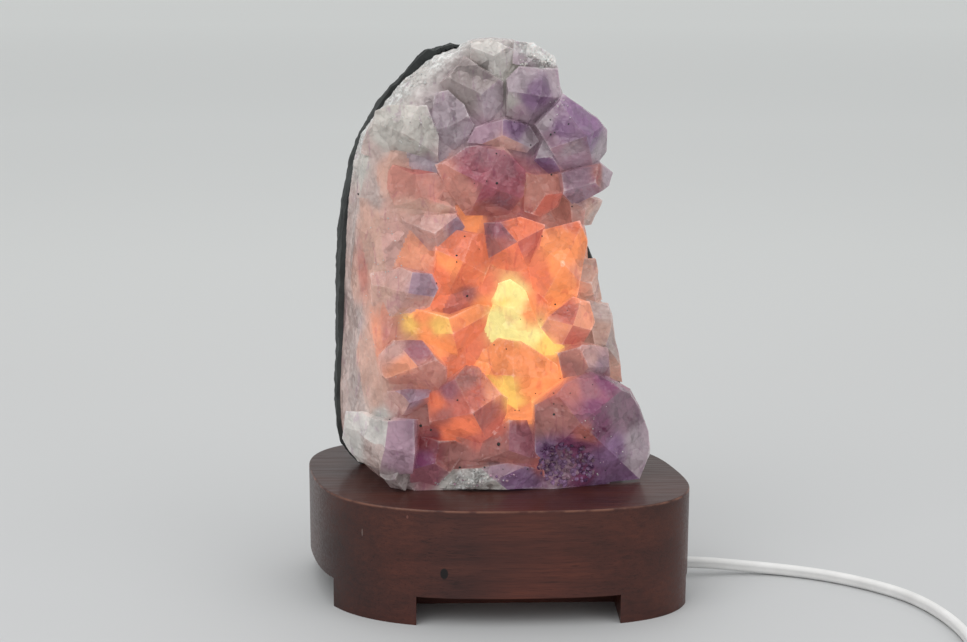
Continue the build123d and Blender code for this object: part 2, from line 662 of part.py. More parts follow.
def cord_tube(name, points):
    radii = bend_radii(points)
    path = FilletPolyline(*points, radius=radii)
    section = Plane(origin=path @ 0, z_dir=path % 0) * Circle(CORD_RADIUS)
    tube = sweep(section, path=path)
    expected = math.pi * CORD_RADIUS**2 * path.length
    print(name, "length", round(path.length, 1), "radii", [round(radius) for radius in radii])
    print(name, "volume share", round(tube.volume / expected, 5))
    return tube


def coil_point(turn):
    climb_end = COIL_TURNS_IN + 0.5
    inner = COIL_OUTER - COIL_TURNS_IN * COIL_PITCH
    height = CORD_RADIUS
    if turn <= COIL_TURNS_IN:
        radius = COIL_OUTER - COIL_PITCH * turn
    elif turn <= climb_end:
        part = turn - COIL_TURNS_IN
        radius = inner - COIL_PITCH * part + 2 * COIL_PITCH * part**2
        height += COIL_PITCH * (2 * part) ** 2 * (3 - 4 * part)
    else:
        radius = inner + COIL_PITCH * (turn - climb_end)
        height += COIL_PITCH
    angle = 2 * math.pi * turn
    return Vector(COIL_X + radius * math.cos(angle), COIL_Y + radius * math.sin(angle), height)


def coil_heading(turn):
    return (coil_point(turn + 1e-4) - coil_point(turn - 1e-4)).normalized()


def biarc(start, start_heading, end, end_heading):
    gap = end - start
    both = start_heading + end_heading
    a = 2 * (1 - start_heading.dot(end_heading))
    b = 2 * gap.dot(both)
    c = -gap.dot(gap)
    handle = (-b + math.sqrt(b * b - 4 * a * c)) / (2 * a)
    joint = (start + start_heading * handle + end - end_heading * handle) / 2
    first = TangentArc(start, joint, tangent=start_heading)
    second = TangentArc(end, joint, tangent=end_heading * -1)
    return [first, second]


def coil_gap(points, turn_samples):
    least = math.inf
    for index, point in enumerate(points):
        for other in points[index + turn_samples // 2:]:
            least = min(least, (point - other).length)
    return least - 2 * CORD_RADIUS


def cord_coil():
    total = 2 * COIL_TURNS_IN + 0.5
    steps = round(total * ARC_STEPS_PER_TURN)
    turns = [total * step / steps for step in range(steps + 1)]
    headings = [coil_heading(turn) for turn in turns]
    headings[0] = Vector(0, 1, 0)
    headings[-1] = Vector(0, 1, 0)
    start = coil_point(0)
    end = coil_point(total)
    edges = [Line(start - headings[0] * COIL_STRAIGHT, start)]
    for step in range(steps):
        first, second = coil_point(turns[step]), coil_point(turns[step + 1])
        edges += biarc(first, headings[step], second, headings[step + 1])
    edges.append(Line(end, end + headings[-1] * COIL_STRAIGHT))
    path = Wire([edge for line in edges for edge in line.edges()])
    section = Plane(origin=path @ 0, z_dir=path % 0) * Circle(CORD_RADIUS)
    tube = sweep(section, path=path)
    samples = [path @ (index / 600) for index in range(601)]
    print("cord_coil length", round(path.length, 1), "least gap", round(coil_gap(samples, 90), 2))
    print("cord_coil volume share", round(tube.volume / (math.pi * CORD_RADIUS**2 * path.length), 5))
    return tube


def cord_inner():
    low = LAMP_X + POCKET_RADIUS - SHEATH_END_INSET
    return Pos(0, LAMP_Y, CORD_HOLE_HEIGHT) * (Rot(0, 90, 0) * drum(CORD_RADIUS, low, NOTCH_EXIT))


def cord_relief():
    wall = NOTCH_WALL_X
    flange_end = wall + RELIEF_FLANGE
    body = drum(CORD_HOLE_RADIUS - RUNNING_GAP, wall - RELIEF_IN_HOLE, wall)
    body += drum(RELIEF_FLANGE_RADIUS, wall, flange_end)
    body += Pos(0, 0, flange_end) * taper(RELIEF_ROOT_RADIUS, RELIEF_TIP_RADIUS, RELIEF_LENGTH)
    body -= drum(CORD_RADIUS + RUNNING_GAP, wall - RELIEF_IN_HOLE, NOTCH_EXIT)
    return Pos(0, LAMP_Y, CORD_HOLE_HEIGHT) * (Rot(0, 90, 0) * body)


def holder_wire(side):
    sheath_end = POCKET_RADIUS - SHEATH_END_INSET
    near = side * CORE_WIRE_OFFSET
    points = [
        (sheath_end, near, CORD_HOLE_HEIGHT),
        (sheath_end - 6, near, CORD_HOLE_HEIGHT),
        (near + 1.5, near, CORD_HOLE_HEIGHT + 6),
        (near, 0, NIPPLE_TOP - NIPPLE_LENGTH),
        (near, 0, NIPPLE_TOP + 1),
        (side * TERMINAL_OFFSET, 0, CORE_LOW - TERMINAL_HEAD - 2.4),
        (side * TERMINAL_OFFSET, 0, CORE_LOW - TERMINAL_HEAD),
    ]
    return at_lamp(round_wire(points, bend_radii(points), CORE_WIRE_RADIUS))


# The in-line switch, built round its own middle

def at_switch(shape):
    return Pos(SWITCH_X, SWITCH_Y, 0) * shape


def switch_plan(inset):
    size = (SWITCH_LENGTH - 2 * inset, SWITCH_WIDTH - 2 * inset)
    return RectangleRounded(*size, SWITCH_CORNER - inset)


def cord_entries():
    end = -SWITCH_LENGTH / 2
    entry = Rot(0, 90, 0) * drum(CORD_RADIUS + RUNNING_GAP, end, end + SWITCH_WALL)
    entry = Pos(0, 0, SWITCH_SPLIT) * entry
    return [entry, Rot(0, 0, 180) * entry]


def bosses(low, high):
    places = [(side * SWITCH_SCREW_X, side * SWITCH_SCREW_Y) for side in (-1, 1)]
    return [drum(SWITCH_BOSS_RADIUS, low, high, x, y) for x, y in places]


def switch_lower_housing():
    shell = extrude(switch_plan(0), SWITCH_SPLIT)
    shell = fillet(shell.edges().group_by(Axis.Z)[0], SWITCH_WALL / 2)
    shell -= Pos(0, 0, SWITCH_WALL) * extrude(switch_plan(SWITCH_WALL), SWITCH_SPLIT)
    for boss in bosses(SWITCH_WALL / 2, SWITCH_SPLIT):
        shell += boss
    for side in (-1, 1):
        x, y = side * SWITCH_SCREW_X, side * SWITCH_SCREW_Y
        shell -= drum(SWITCH_SCREW_RADIUS + RUNNING_GAP, 0, SWITCH_SPLIT, x, y)
        shell -= drum(SWITCH_SCREW_HEAD_RADIUS + RUNNING_GAP, 0, SWITCH_SCREW_HEAD, x, y)
    for entry in cord_entries():
        shell -= entry
    return at_switch(shell)


def switch_upper_housing():
    height = SWITCH_HEIGHT - SWITCH_SPLIT
    shell = Pos(0, 0, SWITCH_SPLIT) * extrude(switch_plan(0), height)
    shell = fillet(shell.edges().group_by(Axis.Z)[-1], SWITCH_WALL)
    shell -= Pos(0, 0, SWITCH_SPLIT) * extrude(switch_plan(SWITCH_WALL), height - SWITCH_WALL)
    for boss in bosses(SWITCH_SPLIT, SWITCH_HEIGHT - SWITCH_WALL / 2):
        shell += boss
    half_length = ROCKER_LENGTH / 2 + ROCKER_END_GAP
    half_width = ROCKER_WIDTH / 2 + ROCKER_SIDE_GAP
    for side in (-1, 1):
        ear_low = half_width if side > 0 else -half_width - SWITCH_WALL
        ear_high = ear_low + SWITCH_WALL
        ear_floor = ROCKER_PIVOT_HEIGHT - EAR_DEPTH
        shell += slab(-ROCKER_WAIST, ROCKER_WAIST, ear_low, ear_high, ear_floor, SWITCH_HEIGHT - SWITCH_WALL)
        x, y = side * SWITCH_SCREW_X, side * SWITCH_SCREW_Y
        shell -= drum(SWITCH_SCREW_RADIUS + RUNNING_GAP, SWITCH_SPLIT, SWITCH_SPLIT + height / 2, x, y)
    shell -= slab(-half_length, half_length, -half_width, half_width, SWITCH_SPLIT, SWITCH_HEIGHT)
    pivot_length = 2 * (half_width + ROCKER_PIN_LENGTH)
    pivot = Rot(90, 0, 0) * Cylinder(ROCKER_PIN_RADIUS + RUNNING_GAP, pivot_length)
    shell -= Pos(0, 0, ROCKER_PIVOT_HEIGHT) * pivot
    for entry in cord_entries():
        shell -= entry
    return at_switch(shell)


BLADE_TOP = ROCKER_PIVOT_HEIGHT - ROCKER_PIN_RADIUS - BLADE_THICKNESS
BLADE_LOW = BLADE_TOP - BLADE_THICKNESS


def switched_on(shape):
    pivot = Pos(0, 0, ROCKER_PIVOT_HEIGHT)
    return at_switch(pivot * (Rot(0, ROCKER_TILT, 0) * (pivot.inverse() * shape)))


def switch_rocker():
    crest = SWITCH_HEIGHT + ROCKER_PROUD
    tilt = math.tan(math.radians(ROCKER_TILT)) * ROCKER_LENGTH / 2
    half = ROCKER_LENGTH / 2
    side_view = Polyline(
        (-half, 0, crest - tilt),
        (0, 0, crest - ROCKER_CREST_DIP * tilt),
        (half, 0, crest - tilt),
        (half - ROCKER_DRAFT, 0, ROCKER_PIVOT_HEIGHT + 1),
        (ROCKER_WAIST, 0, BLADE_TOP),
        (-ROCKER_WAIST, 0, BLADE_TOP),
        (-half + ROCKER_DRAFT, 0, ROCKER_PIVOT_HEIGHT + 1),
        close=True,
    )
    body = extrude(make_face(side_view), ROCKER_WIDTH / 2, dir=(0, 1, 0), both=True)
    pin_length = ROCKER_WIDTH + 2 * (ROCKER_SIDE_GAP + ROCKER_PIN_LENGTH - ROCKER_PIN_PLAY)
    body += Pos(0, 0, ROCKER_PIVOT_HEIGHT) * (Rot(90, 0, 0) * Cylinder(ROCKER_PIN_RADIUS, pin_length))
    return switched_on(body)


def switch_blade():
    half_length, half_width = BLADE_LENGTH / 2, BLADE_WIDTH / 2
    return switched_on(slab(-half_length, half_length, -half_width, half_width, BLADE_LOW, BLADE_TOP))


def blade_underside(x):
    turn = math.radians(ROCKER_TILT)
    drop = (ROCKER_PIVOT_HEIGHT - BLADE_LOW) / math.cos(turn)
    return ROCKER_PIVOT_HEIGHT - drop - x * math.tan(turn)


def switch_terminals():
    length, width, height = TERMINAL_BLOCK
    post = CONTACT_POST_LENGTH / 2
    half_blade = BLADE_WIDTH / 2
    terminals = []
    for side, contact_x in ((-1, 0.0), (1, END_CONTACT_X)):
        middle = side * TERMINAL_BLOCK_X
        low, high = SWITCH_WALL, SWITCH_WALL + height
        terminal = slab(middle - length / 2, middle + length / 2, -width / 2, width / 2, low, high)
        ends = sorted((middle, contact_x))
        terminal += slab(ends[0], ends[1], -half_blade, half_blade, low, low + CONTACT_STRIP)
        top = blade_underside(contact_x + post) - CONTACT_GAP
        terminal += slab(contact_x - post, contact_x + post, -half_blade, half_blade, low, top)
        terminals.append(at_switch(terminal))
    return Compound(children=terminals)


def switch_screws():
    screws = []
    for side in (-1, 1):
        x, y = side * SWITCH_SCREW_X, side * SWITCH_SCREW_Y
        head = drum(SWITCH_SCREW_HEAD_RADIUS, SWITCH_SCREW_SUNK, SWITCH_SCREW_HEAD, x, y)
        shank = drum(SWITCH_SCREW_RADIUS, SWITCH_SCREW_HEAD, SWITCH_SPLIT + SWITCH_SCREW_GRIP, x, y)
        screws.append(at_switch(head + shank))
    return Compound(children=screws)


def switch_wires():
    wires = []
    reach = SWITCH_LENGTH / 2 - SWITCH_WALL
    length = TERMINAL_BLOCK[0]
    height = SWITCH_WALL + TERMINAL_BLOCK[2] / 2
    for side in (-1, 1):
        points = [(side * reach, 0, SWITCH_SPLIT), (side * (reach - 5), 0, SWITCH_SPLIT),
                  (side * (TERMINAL_BLOCK_X + length / 2 + 4), 0, height),
                  (side * (TERMINAL_BLOCK_X + length / 2), 0, height)]
        wires.append(at_switch(round_wire(points, bend_radii(points), CORE_WIRE_RADIUS)))
    return Compound(children=wires)


# The plug, built along X and turned to the end of the tail

def at_plug(shape):
    end = Vector(*TAIL_ROUTE[-1])
    heading = end - Vector(*TAIL_ROUTE[-2])
    turn = math.degrees(math.atan2(heading.Y, heading.X))
    return Pos(*end) * (Rot(0, 0, turn) * shape)


def plug_body():
    plane = Plane.YZ
    neck_outline = RectangleRounded(PLUG_NECK_WIDTH, PLUG_NECK_THICKNESS, PLUG_NECK_CORNER)
    neck = plane.offset(PLUG_RELIEF) * neck_outline
    outline = RectangleRounded(PLUG_WIDTH, PLUG_THICKNESS, PLUG_CORNER)
    shoulder = plane.offset(PLUG_RELIEF + PLUG_SHOULDER_SHARE * PLUG_LENGTH) * outline
    face = plane.offset(PLUG_RELIEF + PLUG_LENGTH) * outline
    body = loft([neck, shoulder], ruled=True) + loft([shoulder, face], ruled=True)
    body += Rot(0, 90, 0) * taper(CORD_RADIUS + 0.5, PLUG_NECK_THICKNESS / 2, PLUG_RELIEF)
    for side in (-1, 1):
        hole = drum(PIN_RADIUS, PLUG_RELIEF + PLUG_LENGTH - PIN_ROOT, PLUG_RELIEF + PLUG_LENGTH)
        body -= Pos(0, side * PIN_SPACING / 2, 0) * (Rot(0, 90, 0) * hole)
    return at_plug(body)


def plug_pins():
    pins = []
    for side in (-1, 1):
        low = PLUG_RELIEF + PLUG_LENGTH - PIN_ROOT
        pin = drum(PIN_RADIUS, low, low + PIN_ROOT + PIN_LENGTH)
        pin = fillet(pin.edges().group_by(Axis.Z)[-1], PIN_RADIUS / 2)
        pins.append(at_plug(Pos(0, side * PIN_SPACING / 2, 0) * (Rot(0, 90, 0) * pin)))
    return Compound(children=pins)


save(base_block(), "base_block")
save(at_lamp(lampholder_strap()), "lampholder_strap")
save(strap_screws(), "strap_screws")
save(at_lamp(holder_nipple()), "holder_nipple")
save(nipple_nuts(), "nipple_nuts")
save(at_lamp(holder_dome()), "holder_dome")
save(at_lamp(holder_skirt()), "holder_skirt")
save(at_lamp(holder_core()), "holder_core")
save(at_lamp(thread_sleeve()), "thread_sleeve")
save(terminal_screws(), "terminal_screws")
save(at_lamp(centre_contact()), "centre_contact")
save(at_lamp(bulb_tip()), "bulb_tip")
save(at_lamp(bulb_insulator()), "bulb_insulator")
save(at_lamp(bulb_cap()), "bulb_cap")
save(at_lamp(bulb_glass()), "bulb_glass")
save(at_lamp(bulb_stem()), "bulb_stem")
save(bulb_leads(), "bulb_leads")
save(at_lamp(bulb_filament()), "bulb_filament")
cluster = crystal_cluster()
save(back_coat(cluster), "back_coat")
save(cluster - cavity(), "crystal_cluster")
save(cord_relief(), "cord_relief")
save(cord_inner(), "cord_inner")
save(holder_wire(-1), "wire_live")
save(holder_wire(1), "wire_neutral")
save(cord_tube("cord_lead", LEAD_ROUTE), "cord_lead")
save(switch_lower_housing(), "switch_lower_housing")
save(switch_upper_housing(), "switch_upper_housing")
save(switch_rocker(), "switch_rocker")
save(switch_blade(), "switch_blade")
save(switch_terminals(), "switch_terminals")
save(switch_screws(), "switch_screws")
save(switch_wires(), "switch_wires")
save(cord_tube("cord_mid", MID_ROUTE), "cord_mid")
save(cord_coil(), "cord_coil")
save(cord_tube("cord_tail", TAIL_ROUTE), "cord_tail")
save(plug_body(), "plug_body")
save(plug_pins(), "plug_pins")
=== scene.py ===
import json
import math
import random

import bmesh
import bpy
import numpy
from mathutils import Euler, Matrix, Vector, noise
from mathutils.bvhtree import BVHTree


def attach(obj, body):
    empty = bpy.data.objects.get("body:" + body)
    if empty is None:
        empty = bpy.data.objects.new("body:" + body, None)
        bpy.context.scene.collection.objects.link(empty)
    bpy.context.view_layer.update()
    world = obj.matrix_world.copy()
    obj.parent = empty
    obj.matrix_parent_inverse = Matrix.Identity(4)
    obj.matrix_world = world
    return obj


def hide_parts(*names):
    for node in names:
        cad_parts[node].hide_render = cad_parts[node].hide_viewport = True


# Looks for the amethyst crystal lamp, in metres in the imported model's frame:
# X runs along the base, -Y is the front.

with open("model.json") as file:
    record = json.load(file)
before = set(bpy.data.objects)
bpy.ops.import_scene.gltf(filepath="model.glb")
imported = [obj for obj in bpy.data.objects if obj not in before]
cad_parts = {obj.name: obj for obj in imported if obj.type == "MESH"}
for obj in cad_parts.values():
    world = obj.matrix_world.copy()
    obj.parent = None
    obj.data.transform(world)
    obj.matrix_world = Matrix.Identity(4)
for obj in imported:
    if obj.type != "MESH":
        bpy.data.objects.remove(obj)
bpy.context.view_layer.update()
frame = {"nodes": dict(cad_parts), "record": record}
nodes = frame["nodes"]

# Camera, fitted to the photograph's view of the base
CAMERA_PLACE = (-0.03668, -0.86980, 0.32234)
CAMERA_TURN = -2.0
CAMERA_DOWN = 12.0
CAMERA_ROLL = 0.003
CAMERA_LENS = 66.04
CAMERA_SENSOR = 36.0
CAMERA_NEAREST = 0.01

# Mains cord: control points of its route, as in the part's source
CORD_DIAMETER = 0.006
LEAD_ROUTE = [
    (0.090, 0.006, 0.007),
    (0.106, 0.006, 0.007),
    (0.128, 0.007, 0.0044),
    (0.148, 0.005, 0.003),
    (0.170, -0.004, 0.003),
    (0.190, -0.018, 0.003),
    (0.206, -0.035, 0.003),
    (0.215, -0.055, 0.003),
    (0.2195, -0.077, 0.003),
    (0.220, -0.097, 0.003),
    (0.220, -0.118, 0.003),
    (0.2295, -0.1345, 0.0034),
    (0.246, -0.144, 0.006),
    (0.265, -0.144, 0.006),
]
MID_ROUTE = [
    (0.325, -0.144, 0.006),
    (0.3395, -0.144, 0.006),
    (0.358, -0.1363, 0.0034),
    (0.372, -0.1222, 0.003),
    (0.380, -0.1035, 0.003),
    (0.380, -0.084, 0.003),
]
TAIL_ROUTE = [
    (0.380, -0.072, 0.0096),
    (0.380, -0.058, 0.0096),
    (0.3735, -0.040, 0.0082),
    (0.3613, -0.0256, 0.00685),
    (0.3483, -0.0181, 0.00685),
]
COIL_X = 0.336
COIL_Y = -0.078
COIL_OUTER = 0.044
COIL_PITCH = 0.0066
COIL_TURNS_IN = 2.75
COIL_POINTS_PER_TURN = 12

# Cord profile, a twin flex on its edge, and how its route is smoothed
CORD_HALF_WIDTH = 0.00215
CORD_RING = 20
CORD_LOBE = 0.5
CORD_STEPS = 8
CORD_ORDER = 3

# The stone's body as in the part's source, in millimetres above its foot: height, left, right,
# front and back
STONE_FOOT = 0.0586
STONE_SECTIONS = [
    (0, -66, 64, -31, 42),
    (13, -77, 66, -32, 48),
    (33, -80, 65, -31, 53),
    (66, -79.5, 57, -26, 59),
    (103, -78, 49, -20, 57),
    (139, -74, 44, -13, 51),
    (171, -65, 40, -6, 43),
    (193, -50, 33, -1, 35),
    (209, -31, 21, 4, 27),
    (216, -14, 8, 9, 21),
]
STONE_TOP = (-3, 15, 217)
STONE_OUTLINE = [
    (1.0, 0.05), (0.93, 0.5), (0.72, 0.83), (0.35, 1.0), (-0.15, 0.99), (-0.6, 0.88), (-0.9, 0.62),
    (-1.0, 0.26), (-0.9, -0.3), (-0.78, -0.72), (-0.62, -1.0), (-0.1, -0.95), (0.45, -0.97),
    (0.88, -0.75),
]
BETWEEN_CORNERS_OUT = 1.02
STONE_HEART = Vector((-0.008, 0.014, 0.150))
# Height above the foot, and how far the dark coat and the stone's left wall stand out there past
# the rounded body, in millimetres
COAT_PROUD = [
    (0, 0.0), (30, -0.6), (60, -0.8), (90, 0.0), (120, 0.6), (145, 0.2), (156, 0.4), (172, 0.4),
    (185, 0.4), (200, 1.4), (209, 3.0), (213, 2.2), (217, -0.2),
]
WALL_PROUD = [
    (0, 0.0), (60, 0.0), (76, -0.8), (93, 0.2), (110, 1.0), (128, 2.0), (145, 3.4), (154, 4.8),
    (163, 5.2), (169, 4.6), (178, 3.0), (188, 2.0), (200, 2.2), (209, 3.4), (214, 2.0), (217, 0.0),
]
# The coat's rim lies at this Y. The stone's crest rises in front of it, and both surfaces sink
# behind it, at the top and on the right, over a short step
COAT_RIM = 0.016
RIM_STEP = 0.0005
CREST_RISE = 0.0018
COAT_SINK = 0.0028
HIGHEST = 0.2775
# Where the shaping of the stone's surface sets in or ends, and over what width. Depths are shares
# of the way from the stone's heart to its surface, and headings are directions from the heart
SKIN_DEPTH = (0.75, 0.2)
LEFT_HEADING = (0.25, 0.3)
WALL_HEADING_X = (-0.1, 0.25)
WALL_HEADING_Y = (-0.5, 0.25)
SIDE_HEADING = (0.3, 0.3)
CREST_HEADING = (0.85, 0.1)
CREST_X = (-0.02, 0.01)
TOP_HEADING = (0.6, 0.2)
TOP_X = (-0.022, 0.012)
RIGHT_HEADING_X = (0.1, 0.2)
RIGHT_HEADING_Z = (0.2, 0.2)
# Random lumps: height in metres and how fine they are
FACET_WAVES = (0.00016, 110)
FROST_LUMPS = ((0.0007, 260), (0.0004, 700))
RIGHT_RIM_LUMPS = (0.0022, 75)
COAT_LUMPS = ((0.0008, 90), (0.0005, 330))
COAT_RIM_WAVES = (0.0035, 55)
COAT_LIFT = 0.0003
# How deep the coat's outer face reaches, the band behind its rim that waves, the strip behind the
# rim over which the stone's roughness fades, and the height over its foot that stays smooth
COAT_OUTER_DEPTH = 0.002
COAT_RIM_BAND = (COAT_RIM + 0.005, 0.004)
RIM_FADE = 0.002
FOOT_CLEARANCE = 0.001
# Where the lumps on the stone's right rim set in and end, and over what width
RIGHT_RIM_X = (0.043, 0.006)
RIGHT_RIM_LOW = (0.112, 0.008)
RIGHT_RIM_HIGH = (0.205, 0.008)
# The curve that the stone's front leans back along: its foot, its slope there and its bend
FRONT_FOOT_Y = -0.042
FRONT_FOOT_Z = 0.062
FRONT_SLOPE = 0.18
FRONT_BEND = 0.7

# How the stone looks: colour, frosting, and the share of the look that is the bulb's light
TINTS = {
    "frost": ((0.59, 0.58, 0.56), 1.0, 0.0),
    "milk": ((0.60, 0.57, 0.54), 0.15, 0.08),
    "pearl": ((0.52, 0.40, 0.37), 0.25, 0.18),
    "blush": ((0.61, 0.37, 0.30), 0.15, 0.3),
    "mist": ((0.53, 0.50, 0.46), 0.06, 0.12),
    "haze": ((0.41, 0.33, 0.37), 0.04, 0.14),
    "smoke": ((0.33, 0.275, 0.27), 0.05, 0.15),
    "lilac": ((0.39, 0.25, 0.315), 0.1, 0.2),
    "orchid": ((0.62, 0.36, 0.32), 0.15, 0.3),
    "violet": ((0.235, 0.13, 0.24), 0.05, 0.15),
    "deep": ((0.12, 0.05, 0.12), 0.05, 0.1),
    "plum": ((0.23, 0.065, 0.145), 0.03, 0.2),
    "dusk": ((0.27, 0.16, 0.21), 0.08, 0.15),
    "mulberry": ((0.32, 0.12, 0.15), 0.05, 0.3),
    "rose": ((0.39, 0.105, 0.14), 0.0, 0.3),
    "rosewood": ((0.20, 0.042, 0.05), 0.0, 0.3),
    "clay": ((0.35, 0.14, 0.125), 0.03, 0.35),
    "brick": ((0.44, 0.145, 0.125), 0.0, 0.4),
    "salmon": ((0.56, 0.235, 0.19), 0.05, 0.4),
    "coral": ((0.58, 0.155, 0.115), 0.0, 0.55),
    "peach": ((0.84, 0.33, 0.20), 0.03, 0.6),
    "ember": ((0.82, 0.20, 0.10), 0.0, 0.8),
    "flame": ((0.98, 0.30, 0.11), 0.0, 0.9),
    "gold": ((1.00, 0.57, 0.145), 0.0, 1.0),
    "sun": ((1.00, 0.83, 0.31), 0.0, 1.0),
}
# Where each look lies on the stone's leaning front, X and Z in millimetres. A mark counts less with
# distance past its reach, and only its spill counts on other facets
MARKS = {
    "frost": [(18, 270), (25, 267), (15, 274), (21, 262), (-33, 264), (-46, 253), (-59, 239),
        (-64, 230), (-70, 218), (-25, 269), (-74, 208), (-8, 67), (-16, 65), (-52, 244), (5, 275)],
    "milk": [(-4, 268), (1, 259), (-1, 273), (-59, 91), (-70, 86), (-70, 95), (-57, 99), (-2, 65),
        (-39, 257), (-25, 66)],
    "pearl": [(-57, 218), (-58, 199), (-70, 180), (-73, 151), (-68, 141), (-71, 115), (-73, 126),
        (-61, 81), (55, 131), (-68, 195), (52, 146), (47, 193), (-69, 104), (68, 62)],
    "blush": [(-57, 184), (-57, 170), (-54, 156), (-65, 127), (-57, 113), (-62, 186), (-68, 161),
        (46, 194), (44, 166), (-59, 106), (-41, 195), (49, 157), (51, 138), (-27, 195), (-52, 208),
        (58, 119)],
    "mist": [(-48, 237), (-35, 232), (-39, 222), (9, 260), (8, 243), (-62, 211), (-54, 224)],
    "haze": [(-29, 235), (-21, 241), (-24, 230), (29, 256), (16, 226), (51, 220), (54, 211),
        (24, 236), (68, 76), (36, 223), (66, 86), (-5, 245), (26, 222), (-17, 232), (-33, 215),
        (13, 257), (12, 262), (19, 261), (10, 250), (28, 251)],
    "smoke": [(-12, 259), (-18, 256), (-4, 257), (-15, 249), (-52, 70), (-46, 66)],
    "lilac": [(-6, 232), (39, 218), (40, 205), (40, 200), (-38, 157), (-34, 160), (49, 122),
        (-41, 106), (-48, 86), (-44, 94), (26, 64), (10, 241), (1, 70), (31, 71), (30, 224),
        (-47, 77), (-20, 186)],
    "orchid": [(-38, 186), (-29, 183), (-50, 164), (-49, 151), (-40, 150), (-33, 190), (-48, 131),
        (-48, 105), (47, 124), (4, 225), (-52, 176), (39, 193)],
    "violet": [(25, 251), (31, 232), (42, 238), (47, 228), (5, 67), (12, 66), (24, 79), (50, 66),
        (57, 82), (24, 217), (10, 231), (21, 246), (16, 245), (61, 67), (52, 76), (20, 249)],
    "plum": [(51, 93), (-37, 76), (47, 102), (42, 68), (37, 78), (31, 83), (52, 113)],
    "dusk": [(60, 106), (63, 95), (28, 228), (58, 99), (40, 212)],
    "mulberry": [(-4, 219), (6, 213), (45, 109), (-39, 129), (-25, 109), (9, 87), (13, 83),
        (0, 185), (43, 110), (-34, 68), (-40, 70), (2, 199)],
    "rose": [(-10, 211), (-4, 204), (8, 206), (12, 214)],
    "rosewood": [(-36, 86), (-31, 88), (-29, 79)],
    "clay": [(-20, 75), (-10, 76), (-4, 81), (-37, 101), (27, 99), (21, 96), (36, 121), (50, 212),
        (5, 76), (-16, 114), (-24, 78)],
    "brick": [(-2, 194), (-11, 193), (11, 195), (27, 107), (37, 110), (-15, 156), (-27, 98),
        (43, 90), (-36, 210), (0, 178), (-5, 98), (20, 72)],
    "salmon": [(-24, 212), (-18, 203), (-47, 207), (-36, 203), (-31, 200), (21, 204), (17, 206),
        (-35, 121), (38, 126), (25, 209), (25, 189), (-53, 139), (30, 192), (36, 194), (36, 192),
        (-65, 163), (-40, 114), (-28, 119)],
    "coral": [(25, 199), (-11, 107), (-18, 101), (-2, 91), (-10, 85), (35, 134), (34, 146),
        (16, 180), (-21, 150), (35, 186)],
    "peach": [(-43, 174), (41, 151), (-57, 138), (-45, 122), (41, 142), (41, 165), (-2, 107),
        (28, 140)],
    "ember": [(-20, 181), (-16, 181), (-21, 174), (13, 187), (16, 164), (23, 163), (22, 153),
        (-27, 164), (-15, 164), (-25, 153), (-6, 158), (-18, 136), (-20, 124), (-10, 138),
        (-16, 92), (-25, 89), (-29, 104), (40, 187), (9, 172), (-14, 129), (-10, 176), (5, 173)],
    "flame": [(-11, 189), (34, 184), (27, 174), (38, 176), (29, 165), (30, 157), (-15, 146),
        (-27, 129), (-2, 126), (13, 123), (23, 121), (19, 113), (28, 117), (10, 99), (-37, 145),
        (4, 129), (-24, 169), (32, 178), (0, 119), (-34, 137), (27, 151), (16, 150), (-6, 150),
        (14, 145), (42, 180)],
    "gold": [(-43, 141), (-30, 139), (24, 131), (5, 111), (8, 104), (3, 151)],
    "sun": [(3, 157), (0, 154), (9, 156), (5, 149), (0, 145), (0, 138), (10, 143), (7, 136),
        (17, 136)],
}
MARK_REACH = 0.0025
MARK_SPILL = 0.08
# Beds of small crystals: middle in X and Z, half sizes, how many, crystal size in millimetres,
# and tints
BEDS = [
    # The first two beds fill the great point's hollow with deep violet crystals; the darkest, on
    # its left, are partly painted shade.
    (33, 74, 14, 10, 150, 2.4, ("deep", "violet", "violet", "dusk")),
    (24, 78, 4, 6, 40, 1.8, ("deep", "deep", "violet")),
    # The frost and milk beds are pale chips, partly white quartz and partly painted glints where
    # the stone sparkles.
    (40, 68, 9, 4, 14, 0.8, ("frost", "milk")),
    (50, 84, 13, 18, 22, 0.6, ("lilac", "milk")),
    (-44, 232, 16, 9, 16, 0.8, ("frost", "milk")),
    (-56, 150, 10, 45, 26, 0.7, ("frost", "milk")),
    (34, 246, 7, 10, 12, 0.7, ("frost", "milk")),
    (20, 265, 9, 3, 26, 1.4, ("frost", "milk")),
    (-42, 257, 9, 5, 22, 1.5, ("frost", "milk")),
    (-19, 66, 12, 2.5, 34, 1.5, ("frost", "milk", "lilac")),
    (3, 68, 9, 2, 16, 1.3, ("milk", "lilac", "violet")),
]
# No crystal of a bed stands closer to the stone's foot than the clearance
BED_SEED = 11
BED_CLEARANCE = 0.0025
BED_SIZES = (0.6, 1.2)
BED_SHADES = (0.75, 1.25)
BED_FROSTING = 0.5
# A small crystal: length in sizes, lean and turn in radians, the rings' radius in sizes and height
# in lengths, and the tip's height in lengths
CRYSTAL_SIDES = 6
CRYSTAL_LENGTHS = (0.7, 1.5)
CRYSTAL_LEAN = (-0.7, 0.7)
CRYSTAL_TURN = (0, 6.3)
CRYSTAL_RINGS = ((0.42, -0.6), (0.5, 0.25))
CRYSTAL_TIP = 0.75
# Hollows in the front: middle in X and Z, half sizes and depth, in millimetres
HOLLOWS = [(33, 76, 16, 12, 5.0), (-17, 233, 6, 5, 1.5), (3, 148, 10, 14, 2.0)]
# A hollow's spread past its half sizes, its reach in Y, the largest Y of the normals that it takes,
# and how deep and lumpy its floor is
HOLLOW_SPREAD = 1.2
HOLLOW_REACH = 0.015
HOLLOW_FACING = 0.2
HOLLOW_FLOOR = 0.8
HOLLOW_LUMPS = (0.5, 240)
